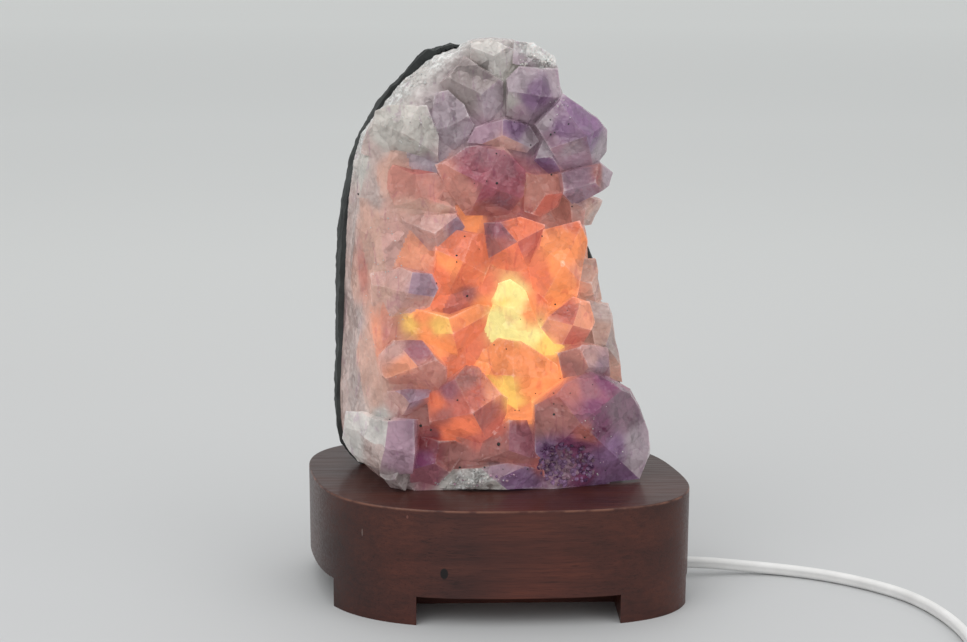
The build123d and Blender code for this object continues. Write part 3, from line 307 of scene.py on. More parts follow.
# Dark specks in the quartz: X, Z and size in millimetres. The radius is the size over the shrink
SPECKS = [
    (0, 207, 0.9), (9, 236, 0.5), (27, 230, 0.8), (29, 231, 0.5), (36, 235, 0.6), (27, 237, 0.5),
    (34, 244, 0.4), (0, 221, 0.5), (4, 220, 0.3), (27, 211, 0.7), (37, 196, 0.6), (-5, 208, 0.5),
    (-11, 207, 0.4), (-16, 182, 0.6), (-20, 173, 0.7), (-20, 170, 0.6), (-9, 176, 0.4),
    (22, 182, 0.6), (17, 225, 0.6), (-68, 202, 0.9), (-30, 160, 0.6), (-15, 154, 0.8),
    (28, 150, 0.7), (34, 147, 0.4), (21, 143, 0.4), (11, 143, 0.4), (-2, 131, 0.5), (4, 129, 0.6),
    (-20, 105, 0.6), (-7, 105, 0.4), (-12, 98, 0.4), (-53, 96, 0.5), (-38, 93, 1.1), (-33, 91, 0.8),
    (0, 84, 1.4), (-19, 73, 0.8), (-12, 71, 0.4), (-7, 73, 0.7), (14, 72, 0.5), (2, 72, 0.4),
    (18, 108, 0.5), (27, 108, 0.5), (27, 103, 0.5), (27, 98, 0.8), (31, 102, 0.4), (35, 108, 0.4),
    (8, 100, 0.4), (10, 100, 0.4), (42, 87, 0.6), (3, 92, 0.4), (46, 112, 0.4), (52, 71, 0.5),
    (30, 115, 0.5),
]
SPECK_SEED = 5
SPECK_SHRINK = 1.4
SPECK_TURN = (0, 3)
SPECK_SQUASH = (0.7, 1.1)
SPECK_PROUD = 0.0001
# Painted highlight and wear on the stone's edges: strength, fineness, middle and contrast of
# patches
EDGE_HIGHLIGHT_AND_WEAR = 0.4
EDGE_HIGHLIGHT_AND_WEAR_PATCHES = 60
EDGE_HIGHLIGHT_AND_WEAR_MIDDLE = 0.4
EDGE_HIGHLIGHT_AND_WEAR_CONTRAST = 1.6
# The base's worn top edge: the heights where it sets in and ends, and its colour
BASE_EDGE_LOW = (0.0572, 0.0581)
BASE_EDGE_HIGH = (0.0586, 0.0583)
BASE_EDGE_COLOUR = (0.17, 0.070, 0.045)
# Flaws in the base's front: colour, middle and half sizes in metres
BASE_FLAWS = [
    ((0.006, 0.003, 0.003), (-0.027, -0.064, 0.027), (0.0022, 0.02, 0.0032)),
    ((0.16, 0.060, 0.045), (-0.0445, -0.063, 0.0545), (0.0006, 0.02, 0.0010)),
    ((0.13, 0.085, 0.075), (-0.0665, -0.052, 0.0435), (0.0004, 0.02, 0.0022)),
]
REMESH_DEPTH = 8
REMESH_SCALE = 0.95
FACET_FLATNESS = 0.9995

# Moulded finishes: colour, its darker shade, roughness, and fineness and depth of the speckle
MOULDED = {
    "holder_plastic": ((0.035, 0.035, 0.036), (0.018, 0.018, 0.018), 0.42, 1500, 0.00006),
    "ceramic_white": ((0.82, 0.80, 0.74), (0.72, 0.69, 0.62), 0.16, 500, 0.00008),
    "dark_insulator": ((0.030, 0.028, 0.03), (0.012, 0.012, 0.014), 0.12, 700, 0.00004),
    "cord_white": ((0.80, 0.80, 0.79), (0.70, 0.70, 0.69), 0.38, 1200, 0.00005),
    "switch_white": ((0.84, 0.84, 0.82), (0.76, 0.76, 0.74), 0.30, 2200, 0.00005),
    "switch_rocker_white": ((0.80, 0.80, 0.79), (0.74, 0.74, 0.73), 0.14, 900, 0.00003),
    "wire_brown": ((0.20, 0.075, 0.030), (0.14, 0.050, 0.020), 0.35, 1500, 0.00004),
    "wire_blue": ((0.030, 0.13, 0.50), (0.020, 0.09, 0.36), 0.35, 1500, 0.00004),
}
# Metal finishes: colour, its darker shade, roughness and fineness of the streaks
METALS = {
    "brass_contact": ((0.78, 0.58, 0.26), (0.52, 0.38, 0.16), 0.28, 900),
    "plated_steel": ((0.70, 0.70, 0.68), (0.50, 0.50, 0.49), 0.32, 900),
    "solder": ((0.60, 0.60, 0.58), (0.42, 0.42, 0.41), 0.45, 700),
    "bulb_cap_metal": ((0.78, 0.78, 0.77), (0.60, 0.60, 0.59), 0.22, 1000),
}

# Floor, background and lights
FLOOR_REACH = 80.0
# Painted shade on the floor: its colour is darker near the lamp and in front of its base, and
# lighter towards the back.
FLOOR_SHADE_TONES = [
    (0.0, (0.52, 0.53, 0.535)),
    (0.06, (0.55, 0.56, 0.56)),
    (0.13, (0.61, 0.625, 0.62)),
    (0.30, (0.71, 0.73, 0.725)),
    (0.80, (0.79, 0.815, 0.805)),
]
BACKGROUND_STRENGTH = 0.72
LIGHTS_AIM = (0, 0, 0.12)
# Each light: name, place, width and power
LIGHTS = [
    ("key", (-0.9, -1.0, 1.5), 1.2, 10),
    ("fill", (1.2, -0.8, 1.1), 1.2, 4.5),
    ("top", (0, 0.3, 1.8), 1.6, 8),
]


class Recipe:
    """A material's nodes, round one Principled shader that reads places in metres."""

    def __init__(self, name):
        self.material = bpy.data.materials.new(name)
        self.material.use_nodes = True
        self.tree = self.material.node_tree
        self.tree.nodes.clear()
        output = self.tree.nodes.new("ShaderNodeOutputMaterial")
        self.shader = self.tree.nodes.new("ShaderNodeBsdfPrincipled")
        self.tree.links.new(self.shader.outputs["BSDF"], output.inputs["Surface"])
        self.place = self.tree.nodes.new("ShaderNodeTexCoord").outputs["Object"]

    def put(self, socket, value):
        """Links or sets an input. One number fills a whole colour, and a colour gets its alpha."""
        if isinstance(value, bpy.types.NodeSocket):
            self.tree.links.new(value, socket)
        elif hasattr(socket.default_value, "__len__") and not hasattr(value, "__len__"):
            socket.default_value = [value] * len(socket.default_value)
        elif hasattr(value, "__len__") and len(value) == 3 and len(socket.default_value) == 4:
            socket.default_value = (*value, 1)
        else:
            socket.default_value = value

    def set(self, **inputs):
        """Links or sets inputs of the shader, by their names with underscores for spaces."""
        for name, value in inputs.items():
            self.put(self.shader.inputs[name.replace("_", " ")], value)
        return self

    def node(self, kind, output=0, settings=None, **inputs):
        """A new shader node's output, with inputs by their names."""
        made = self.tree.nodes.new("ShaderNode" + kind)
        for name, value in (settings or {}).items():
            setattr(made, name, value)
        for name, value in inputs.items():
            self.put(made.inputs[name.replace("_", " ")], value)
        return made.outputs[output]

    def row(self, kind, values, output=0, **settings):
        """A new shader node's output, with its inputs filled in their order."""
        made = self.tree.nodes.new("ShaderNode" + kind)
        for name, value in settings.items():
            setattr(made, name, value)
        for socket, value in zip(made.inputs, values):
            self.put(socket, value)
        return made.outputs[output]

    def math(self, operation, first, second=0.0):
        return self.row("Math", (first, second), operation=operation)

    def vector(self, operation, first, second=(0, 0, 0), third=(0, 0, 0), output=0):
        return self.row("VectorMath", (first, second, third), output, operation=operation)

    def stretch(self, scale, turn=(0, 0, 0)):
        """Places scaled and turned, so that a noise read there is drawn out."""
        return self.node("Mapping", Vector=self.place, Scale=scale, Rotation=turn)

    def noise(self, scale, detail=3.0, roughness=0.5, vector=None, distortion=0.0):
        vector = self.place if vector is None else vector
        return self.node("TexNoise", "Fac", None, Vector=vector, Scale=scale, Detail=detail,
                         Roughness=roughness, Distortion=distortion)

    def step(self, value, low, high, to_low=0.0, to_high=1.0):
        """A smooth change from one result to another as a value goes from low to high."""
        return self.row("MapRange", (value, low, high, to_low, to_high),
                        interpolation_type="SMOOTHSTEP")

    def ramp(self, value, stops):
        """A colour for a value, between stops of a position and a colour."""
        made = self.tree.nodes.new("ShaderNodeValToRGB")
        elements = made.color_ramp.elements
        elements.remove(elements[1])
        elements[0].position = stops[0][0]
        elements[0].color = (*stops[0][1], 1)
        for position, colour in stops[1:]:
            elements.new(position).color = (*colour, 1)
        self.put(made.inputs["Fac"], value)
        return made.outputs["Color"]

    def mix(self, share, first, second, blend="MIX"):
        made = self.tree.nodes.new("ShaderNodeMix")
        made.data_type = "RGBA"
        made.blend_type = blend
        self.put(made.inputs["Factor"], share)
        self.put(made.inputs[6], first)
        self.put(made.inputs[7], second)
        return made.outputs[2]

    def times(self, first, second):
        """One colour times another."""
        return self.mix(1.0, first, second, "MULTIPLY")

    def grey(self, value):
        return self.node("CombineColor", 0, None, Red=value, Green=value, Blue=value)

    def weigh(self, first, weight, second, second_weight):
        """The sum of two values, each times its weight."""
        return self.math("ADD", self.math("MULTIPLY", first, weight),
                         self.math("MULTIPLY", second, second_weight))

    def splinters(self, place, scale):
        """A random tone for each small broken plane, and its tilted height."""
        cells = self.tree.nodes.new("ShaderNodeTexVoronoi")
        self.put(cells.inputs["Vector"], place)
        self.put(cells.inputs["Scale"], scale)
        tone = self.node("SeparateColor", 0, None, Color=cells.outputs["Color"])
        tilt = self.vector("SUBTRACT", cells.outputs["Color"], (0.5, 0.5, 0.5))
        reach = self.vector("SUBTRACT", place, cells.outputs["Position"])
        return tone, self.vector("DOT_PRODUCT", reach, tilt, output="Value")

    def bump(self, height, distance, strength=1.0):
        """Gives the shader a fine relief of a height."""
        normal = self.node("Bump", "Normal", None, Height=height, Distance=distance,
                           Strength=strength)
        return self.set(Normal=normal)


def moulded(name, colour, shade, roughness, grain, depth):
    """A moulded or enamelled finish with fine speckle and slightly uneven gloss."""
    recipe = Recipe(name)
    cloud = recipe.noise(60, 4)
    speckle = recipe.noise(grain, 2)
    tone = recipe.ramp(cloud, [(0.3, shade), (0.7, colour)])
    gloss = recipe.step(cloud, 0.3, 0.7, roughness * 0.85, roughness * 1.15)
    recipe.set(Base_Color=tone, Roughness=gloss)
    return recipe.bump(speckle, depth, 0.5).material


def metal(name, colour, shade, roughness, brushed):
    """Bare metal with streaks from its drawing or stamping."""
    recipe = Recipe(name)
    streaks = recipe.noise(brushed, 3, vector=recipe.stretch((1, 1, 0.08)))
    tarnish = recipe.noise(180, 4)
    tone = recipe.ramp(tarnish, [(0.35, shade), (0.65, colour)])
    gloss = recipe.step(streaks, 0.3, 0.7, roughness * 0.7, roughness * 1.3)
    recipe.set(Base_Color=tone, Metallic=1.0, Roughness=gloss)
    return recipe.bump(streaks, 0.00002, 0.4).material


def wood_material():
    """Dark red-brown stain over fine grain that runs along the base."""
    recipe = Recipe("stained_wood")
    wander = recipe.noise(14, 2)
    along = recipe.stretch((0.06, 1, 1))
    grain = recipe.noise(560, 6, 0.62, along, 0.25)
    bands = recipe.noise(70, 3, 0.5, recipe.stretch((0.10, 1, 1), (0, 0, 0.03)), 0.6)
    pores = recipe.noise(2300, 2, 0.5, recipe.stretch((0.03, 1, 1)))
    depth = recipe.weigh(grain, 0.55, bands, 0.45)
    stain = recipe.ramp(depth, [(0.30, (0.032, 0.0115, 0.0095)), (0.50, (0.060, 0.0190, 0.0145)),
                                (0.70, (0.090, 0.0290, 0.0195))])
    worn = recipe.ramp(wander, [(0.35, (0.80, 0.84, 0.90)), (0.65, (1.34, 1.13, 0.98))])
    # Painted light and shade: the base is lighter along its middle and darker towards its ends.
    across = recipe.math("ABSOLUTE", recipe.node("SeparateXYZ", "X", None, Vector=recipe.place))
    painted_light_along = recipe.step(across, 0.02, 0.085, 1.12, 0.74)
    dark_pores = recipe.step(pores, 0.33, 0.42, 0.68, 1.0)
    tone = recipe.times(stain, worn)
    tone = recipe.times(tone, recipe.grey(painted_light_along))
    tone = recipe.times(tone, recipe.grey(dark_pores))
    up = recipe.node("SeparateXYZ", "Z", None, Vector=recipe.place)
    edge = recipe.math("MULTIPLY", recipe.step(up, *BASE_EDGE_LOW),
                       recipe.step(up, *BASE_EDGE_HIGH))
    edge = recipe.math("MULTIPLY", edge, recipe.step(recipe.noise(130, 3), 0.36, 0.62))
    tone = recipe.mix(edge, tone, BASE_EDGE_COLOUR)
    for colour, middle, size in BASE_FLAWS:
        gap = recipe.vector("SUBTRACT", recipe.place, middle)
        gap = recipe.vector("DIVIDE", gap, size)
        reach = recipe.vector("LENGTH", gap, output="Value")
        tone = recipe.mix(recipe.step(reach, 1.0, 0.7), tone, colour)
    gloss = recipe.step(grain, 0.3, 0.7, 0.36, 0.55)
    recipe.set(Base_Color=tone, Roughness=gloss, Specular_IOR_Level=0.25, Coat_Weight=0.22,
               Coat_Roughness=0.18)
    return recipe.bump(recipe.weigh(grain, 0.6, pores, 0.4), 0.00025, 0.55).material


def stone_material():
    """Quartz lit from inside: each place has its own look, with veils, bands and frost over it."""
    recipe = Recipe("amethyst")
    look = recipe.node("Attribute", "Vector", {"attribute_name": "look"})
    lit = recipe.node("Attribute", "Fac", {"attribute_name": "bulb_share"})
    frosting = recipe.node("Attribute", "Fac", {"attribute_name": "frosting"})
    cloud = recipe.noise(45, 4, 0.55, distortion=0.8)
    fine = recipe.noise(420, 5, 0.65)
    wander = recipe.node("TexNoise", "Color", None, Vector=recipe.place, Scale=70, Detail=3)
    bent = recipe.vector("MULTIPLY_ADD", wander, (0.02, 0.02, 0.02), recipe.place)
    large_tone, large_height = recipe.splinters(bent, 70)
    small_tone, small_height = recipe.splinters(bent, 230)
    bands = recipe.noise(150, 3, 0.55, recipe.stretch((1, 0.6, 0.30), (0.3, 0.2, 0.5)), 1.8)
    shade = recipe.math("ADD", recipe.step(cloud, 0.30, 0.70, 0.84, 1.12),
                        recipe.step(fine, 0.3, 0.7, -0.04, 0.04))
    splinter = recipe.weigh(large_tone, 0.26, small_tone, 0.14)
    shade = recipe.math("ADD", shade, recipe.math("SUBTRACT", splinter, 0.20))
    tone = recipe.times(look, recipe.grey(shade))
    vein = recipe.step(bands, 0.56, 0.70, 0.0, 0.35)
    tone = recipe.mix(vein, tone, recipe.times(tone, (0.62, 0.36, 0.62)))
    frost = recipe.math("MULTIPLY", recipe.step(fine, 0.47, 0.62), recipe.step(frosting, 0.08, 0.9))
    body = recipe.mix(frost, tone, (0.80, 0.80, 0.78))
    dimmed = recipe.math("SUBTRACT", 1.0, recipe.math("MULTIPLY", lit, 0.92))
    body = recipe.times(body, recipe.grey(dimmed))
    glow = recipe.node("VectorMath", 0, {"operation": "SCALE"}, Vector=tone,
                       Scale=recipe.math("MULTIPLY", lit, 0.95))
    # Painted highlight and wear: sharp convex edges are paled towards white in patches.
    highlight_and_wear = recipe.node("Attribute", "Fac", {"attribute_name": "edge_wear"})
    sharp = recipe.step(recipe.node("NewGeometry", "Pointiness"), 0.515, 0.58)
    edge = recipe.math("MULTIPLY", highlight_and_wear, sharp)
    body = recipe.mix(edge, body, (0.80, 0.78, 0.77))
    recipe.set(Base_Color=body, Roughness=recipe.step(frosting, 0.0, 1.0, 0.16, 0.45),
               Specular_IOR_Level=0.35, Coat_Weight=0.10, Coat_Roughness=0.06,
               Subsurface_Weight=0.4, Subsurface_Radius=(1, 0.8, 0.8), Subsurface_Scale=0.005,
               Emission_Color=glow, Emission_Strength=1.0)
    splinters = recipe.math("ADD", large_height, small_height)
    tilted = recipe.node("Bump", "Normal", None, Height=splinters, Distance=0.45, Strength=1.0)
    height = recipe.weigh(fine, 0.6, bands, 0.4)
    normal = recipe.node("Bump", "Normal", None, Height=height, Distance=0.0006, Strength=0.35,
                         Normal=tilted)
    return recipe.set(Normal=normal).material


def rind_material():
    """Rough, dark green-black rind."""
    recipe = Recipe("dark_rind")
    cloud = recipe.noise(90, 5, 0.6)
    grit = recipe.noise(900, 3)
    tone = recipe.ramp(cloud, [(0.3, (0.010, 0.012, 0.012)), (0.7, (0.045, 0.052, 0.050))])
    recipe.set(Base_Color=tone, Roughness=0.75)
    height = recipe.math("ADD", cloud, recipe.math("MULTIPLY", grit, 0.3))
    return recipe.bump(height, 0.0008, 0.8).material


def bulb_glass_material():
    """A lit frosted bulb."""
    recipe = Recipe("bulb_glass")
    frost = recipe.noise(300, 3)
    glow = recipe.ramp(frost, [(0.3, (1.0, 0.62, 0.28)), (0.7, (1.0, 0.72, 0.38))])
    recipe.set(Base_Color=glow, Roughness=0.35, Transmission_Weight=0.2, Emission_Color=glow,
               Emission_Strength=2.5)
    return recipe.material


def finish_nodes():
    """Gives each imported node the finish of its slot, and gives back the finishes by slot."""
    finishes = {
        "stained_wood": wood_material(),
        "amethyst": stone_material(),
        "dark_rind": rind_material(),
        "bulb_glass": bulb_glass_material(),
    }
    for name, look in METALS.items():
        finishes[name] = metal(name, *look)
    for name, look in MOULDED.items():
        finishes[name] = moulded(name, *look)
    for piece in frame["record"]["subparts"]:
        mesh_object = nodes[piece["node"]]
        mesh_object.data.materials.clear()
        mesh_object.data.materials.append(finishes[piece["material_slot"]])
    return finishes


def placed(name, data):
    """A new object in the scene."""
    made = bpy.data.objects.new(name, data)
    bpy.context.collection.objects.link(made)
    return made


def new_object(name, mesh, material):
    mesh.materials.clear()
    mesh.materials.append(material)
    return placed(name, mesh)


def finished_mesh(name, shape):
    """The mesh of a shape, with its faces turned outwards."""
    bmesh.ops.recalc_face_normals(shape, faces=shape.faces)
    mesh = bpy.data.meshes.new(name)
    shape.to_mesh(mesh)
    shape.free()
    return mesh


def add_camera():
    data = bpy.data.cameras.new("camera")
    data.lens = CAMERA_LENS
    data.sensor_width = CAMERA_SENSOR
    data.clip_start = CAMERA_NEAREST
    camera = placed("camera", data)
    turn = Matrix.Rotation(math.radians(CAMERA_TURN), 4, "Z")
    down = Matrix.Rotation(math.radians(90 - CAMERA_DOWN), 4, "X")
    roll = Matrix.Rotation(CAMERA_ROLL, 4, "Z")
    camera.matrix_world = Matrix.Translation(CAMERA_PLACE) @ turn @ down @ roll
    bpy.context.scene.camera = camera
    bpy.context.scene.view_settings.view_transform = "Standard"


# Cords

def coil_point(turn):
    """A place on the coil: it winds in on the table, climbs, and winds out on top of itself."""
    climb_end = COIL_TURNS_IN + 0.5
    inner = COIL_OUTER - COIL_TURNS_IN * COIL_PITCH
    height = CORD_DIAMETER / 2
    if turn <= COIL_TURNS_IN:
        radius = COIL_OUTER - COIL_PITCH * turn
    elif turn <= climb_end:
        part = turn - COIL_TURNS_IN
        radius = inner - COIL_PITCH * part + 2 * COIL_PITCH * part ** 2
        height += COIL_PITCH * (2 * part) ** 2 * (3 - 4 * part)
    else:
        radius = inner + COIL_PITCH * (turn - climb_end)
        height += COIL_PITCH
    angle = 2 * math.pi * turn
    return (COIL_X + radius * math.cos(angle), COIL_Y + radius * math.sin(angle), height)


def coil_route():
    steps = round((2 * COIL_TURNS_IN + 0.5) * COIL_POINTS_PER_TURN)
    return [coil_point(step / COIL_POINTS_PER_TURN) for step in range(steps + 1)]


def spline_points(name, route):
    """Points close together along the smooth spline through the route's control points."""
    curve = bpy.data.curves.new(name + "_line", "CURVE")
    curve.dimensions = "3D"
    curve.resolution_u = CORD_STEPS
    spline = curve.splines.new("NURBS")
    spline.points.add(len(route) - 1)
    for point, place in zip(spline.points, route):
        point.co = (*place, 1)
    spline.order_u = CORD_ORDER
    spline.use_endpoint_u = True
    line = placed(name + "_line", curve)
    mesh = bpy.data.meshes.new_from_object(line)
    points = [vertex.co.copy() for vertex in mesh.vertices]
    bpy.data.objects.remove(line)
    bpy.data.meshes.remove(mesh)
    return points


def flex(name, route, material):
    """A twin flex along a route, standing on its edge; gives back the piece and its path."""
    path = spline_points(name, route)
    shape = bmesh.new()
    rings = []
    for index, point in enumerate(path):
        before = path[max(index - 1, 0)]
        after = path[min(index + 1, len(path) - 1)]
        heading = (after - before).normalized()
        side = heading.cross(Vector((0, 0, 1))).normalized()
        up = side.cross(heading)
        ring = []
        for step in range(CORD_RING):
            angle = 2 * math.pi * step / CORD_RING
            lobe = abs(math.cos(angle)) ** CORD_LOBE
            reach = CORD_HALF_WIDTH + (CORD_DIAMETER / 2 - CORD_HALF_WIDTH) * lobe
            outward = up * math.cos(angle) + side * math.sin(angle)
            ring.append(shape.verts.new(point + outward * reach))
        rings.append(ring)
    for lower, upper in zip(rings, rings[1:]):
        for step in range(CORD_RING):
            following = (step + 1) % CORD_RING
            shape.faces.new((lower[step], upper[step], upper[following], lower[following]))
    shape.faces.new(rings[0])
    shape.faces.new(rings[-1][::-1])
    mesh = finished_mesh(name, shape)
    mesh.shade_smooth()
    piece = new_object(name, mesh, material)
    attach(piece, "root")
    return piece, path


def add_cords(finishes):
    """The cord from the base to the switch, and the rest of it through the coil to the plug."""
    lead, lead_path = flex("cord_to_switch", LEAD_ROUTE, finishes["cord_white"])
    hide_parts("cord_lead")
    rest_route = MID_ROUTE + coil_route() + TAIL_ROUTE
    rest, rest_path = flex("cord_to_plug", rest_route, finishes["cord_white"])
    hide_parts("cord_mid", "cord_coil", "cord_tail")


# The stone

def planar_facets(shape):
    """Groups a mesh's faces into planar facets: face index to facet."""
    facet_of = {}
    for start in shape.faces:
        if start.index in facet_of:
            continue
        facet_of[start.index] = start.index
        waiting = [start]
        while waiting:
            face = waiting.pop()
            for edge in face.edges:
                for near in edge.link_faces:
                    if near.index not in facet_of and near.normal.dot(face.normal) > FACET_FLATNESS:
                        facet_of[near.index] = start.index
                        waiting.append(near)
    return facet_of


def leaning_front(x, z):
    """A place on the curve that the stone's front leans back along."""
    height = z - FRONT_FOOT_Z
    return Vector((x, FRONT_FOOT_Y + FRONT_SLOPE * height + FRONT_BEND * height * height, z))


def marked_looks(tree, facet_of):
    """Each mark's place on the stone, its facet and its look, one row a mark."""
    rows = []
    for tint, places in MARKS.items():
        colour, frosting, lit = TINTS[tint]
        for x, z in places:
            place, _, face = front_place(tree, x, z)
            if face is not None:
                rows.append((*place, facet_of[face], *colour, frosting, lit))
    return numpy.array(rows)


def front_place(tree, x, z):
    """Where the camera's line through a place on the leaning front meets the stone, if it does."""
    eye = Vector(CAMERA_PLACE)
    aim = leaning_front(x / 1000, z / 1000)
    return tree.ray_cast(eye, (aim - eye).normalized())[:3]


def blended_looks(points, facets, rows):
    """The look at each point: marks blend by nearness, and those on other facets hardly count."""
    total = numpy.zeros(len(points))
    looks = numpy.zeros((len(points), 5))
    for row in rows:
        gap = ((points - row[:3]) ** 2).sum(axis=1) + MARK_REACH ** 2
        weight = numpy.where(facets == row[3], 1.0, MARK_SPILL) / gap ** 2
        total += weight
        looks += weight[:, None] * row[4:]
    return looks / total[:, None]


def smooth_rows(rows, steps, closed=False):
    """Rows of numbers along a smooth curve through the given rows."""
    count = len(rows)
    made = []
    for index in range(count if closed else count - 1):
        around = [index - 1, index, index + 1, index + 2]
        places = [place % count if closed else min(max(place, 0), count - 1) for place in around]
        before, here, there, after = (numpy.array(rows[place], dtype=float) for place in places)
        for step in range(steps):
            t = step / steps
            bend = 2 * before - 5 * here + 4 * there - after
            twist = 3 * here - before - 3 * there + after
            made.append(0.5 * (2 * here + (there - before) * t + bend * t ** 2 + twist * t ** 3))
    if not closed:
        made.append(numpy.array(rows[-1], dtype=float))
    return made


def body_ring(section, outline):
    """The places of an outline's corners at a section of the body, in metres."""
    height, left, right, front, back = section
    return [((left + right + (right - left) * across) / 2000,
             (front + back + (back - front) * along) / 2000,
             STONE_FOOT + height / 1000) for across, along in outline]


def body_tree(sections, outlines):
    """A search tree of the stone's body through a ring for each section."""
    sides = len(outlines[0])
    places = []
    for section, outline in zip(sections, outlines):
        places += body_ring(section, outline)
    faces = []
    for level in range(len(sections) - 1):
        low, high = level * sides, (level + 1) * sides
        lean = level % 2
        for step in range(sides):
            following = (step + 1) % sides
            faces.append((low + step, low + following, high + (following if lean else step)))
            faces.append((low + (step if lean else following), high + following, high + step))
    across, along, height = STONE_TOP
    places.append((across / 1000, along / 1000, STONE_FOOT + height / 1000))
    last = (len(sections) - 1) * sides
    faces += [(last + step, last + (step + 1) % sides, len(places) - 1) for step in range(sides)]
    faces += [(0, (step + 1) % sides, step) for step in range(1, sides - 1)]
    return BVHTree.FromPolygons(places, faces)


def body_trees():
    """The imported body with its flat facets, and the same body rounded off."""
    following = STONE_OUTLINE[1:] + STONE_OUTLINE[:1]
    between = [((a[0] + b[0]) / 2 * BETWEEN_CORNERS_OUT, (a[1] + b[1]) / 2 * BETWEEN_CORNERS_OUT)
               for a, b in zip(STONE_OUTLINE, following)]
    faceted = body_tree(STONE_SECTIONS, [between if level % 2 else STONE_OUTLINE
                                         for level in range(len(STONE_SECTIONS))])
    both = [corner for pair in zip(STONE_OUTLINE, between) for corner in pair]
    outline = [tuple(row) for row in smooth_rows(both, 3, closed=True)]
    sections = smooth_rows(STONE_SECTIONS, 6)
    return faceted, body_tree(sections, [outline] * len(sections))


def clamp(value):
    return min(max(value, 0), 1)


def rise(value, start, width):
    """A share that grows from 0 at the start to 1 over the width."""
    return clamp((value - start) / width)


def fall(value, end, width):
    """A share that is 1 up to the width before the end and falls to 0 there."""
    return clamp((end - value) / width)


def lump(place, height, fineness):
    """A random height at a place, up or down."""
    return height * noise.noise(place * fineness)


def proud(table, height):
    """How far a surface stands out at a height, from a table in millimetres above the foot."""
    heights, reaches = zip(*table)
    return float(numpy.interp((height - STONE_FOOT) * 1000, heights, reaches)) / 1000


def round_off(mesh, trees, is_stone):
    """Moves outer points from the faceted body to the rounded one, and shapes crest and rim."""
    faceted, rounded = trees
    for vertex in mesh.vertices:
        offset = vertex.co - STONE_HEART
        heading = offset.normalized()
        flat = faceted.ray_cast(STONE_HEART, heading)[3]
        full = rounded.ray_cast(STONE_HEART, heading)[3]
        skin = rise(offset.length / flat, *SKIN_DEPTH)
        swell = (full - flat) * offset.length / flat * fall(heading.x, *LEFT_HEADING)
        behind = rise(vertex.co.y, COAT_RIM - RIM_STEP, RIM_STEP)
        if is_stone:
            wall = fall(heading.x, *WALL_HEADING_X) * rise(heading.y, *WALL_HEADING_Y)
            crest = rise(heading.z, *CREST_HEADING) * rise(vertex.co.x, *CREST_X)
            swell *= rise(max(-heading.x, heading.y), *SIDE_HEADING)
            swell += (1 - behind) * wall * proud(WALL_PROUD, vertex.co.z)
            swell += (1 - behind) * crest * CREST_RISE
        top = rise(heading.z, *TOP_HEADING) * rise(vertex.co.x, *TOP_X)
        right = rise(heading.x, *RIGHT_HEADING_X) * rise(heading.z, *RIGHT_HEADING_Z)
        swell = skin * (swell - behind * COAT_SINK * max(top, right))
        vertex.co += heading * swell
        vertex.co.z = min(max(vertex.co.z, STONE_FOOT), HIGHEST)


def even_mesh(node):
    """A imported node's surface as an even, fine mesh."""
    mesh = nodes[node].data.copy()
    coarse = placed("coarse", mesh)
    remesh = coarse.modifiers.new("even", "REMESH")
    remesh.mode = "SHARP"
    remesh.octree_depth = REMESH_DEPTH
    remesh.scale = REMESH_SCALE
    remesh.use_remove_disconnected = False
    graph = bpy.context.evaluated_depsgraph_get()
    fine = bpy.data.meshes.new_from_object(coarse.evaluated_get(graph))
    bpy.data.objects.remove(coarse)
    return fine


def write_looks(mesh, domain, looks):
    """Writes rows of colour, frosting and bulb share where the quartz's material reads them."""
    looks = numpy.array(looks)
    layers = mesh.attributes
    layers.new("look", "FLOAT_VECTOR", domain).data.foreach_set("vector", looks[:, :3].ravel())
    layers.new("frosting", "FLOAT", domain).data.foreach_set("value", looks[:, 3].copy())
    layers.new("bulb_share", "FLOAT", domain).data.foreach_set("value", looks[:, 4].copy())


def paint_stone(mesh, tree, facet_of):
    """Gives each face corner its blended look, and gives back the frosting at each point."""
    rows = marked_looks(tree, facet_of)
    facets = numpy.array([facet_of[tree.find_nearest(face.center)[2]] for face in mesh.polygons])
    corners = numpy.empty(len(mesh.loops), dtype=int)
    mesh.loops.foreach_get("vertex_index", corners)
    places = numpy.empty(len(mesh.vertices) * 3)
    mesh.vertices.foreach_get("co", places)
    corner_facets = numpy.repeat(facets, [face.loop_total for face in mesh.polygons])
    spots = corners * (facets.max() + 1) + corner_facets
    first, spot_of = numpy.unique(spots, return_index=True, return_inverse=True)[1:]
    points = places.reshape(-1, 3)[corners[first]]
    looks = blended_looks(points, corner_facets[first], rows)[spot_of]
    write_looks(mesh, "CORNER", looks)
    frosting = numpy.zeros(len(mesh.vertices))
    frosting[corners] = looks[:, 3]
    return frosting


def paint_edge_highlight_and_wear(mesh):
    """Sets how much of the painted highlight and wear on sharp edges shows at each point, in
    patches.
    """
    highlight_and_wear = []
    for vertex in mesh.vertices:
        patch = EDGE_HIGHLIGHT_AND_WEAR_MIDDLE + lump(vertex.co, EDGE_HIGHLIGHT_AND_WEAR_CONTRAST, EDGE_HIGHLIGHT_AND_WEAR_PATCHES)
        highlight_and_wear.append(EDGE_HIGHLIGHT_AND_WEAR * clamp(patch))
    mesh.attributes.new("edge_wear", "FLOAT", "POINT").data.foreach_set("value", highlight_and_wear)


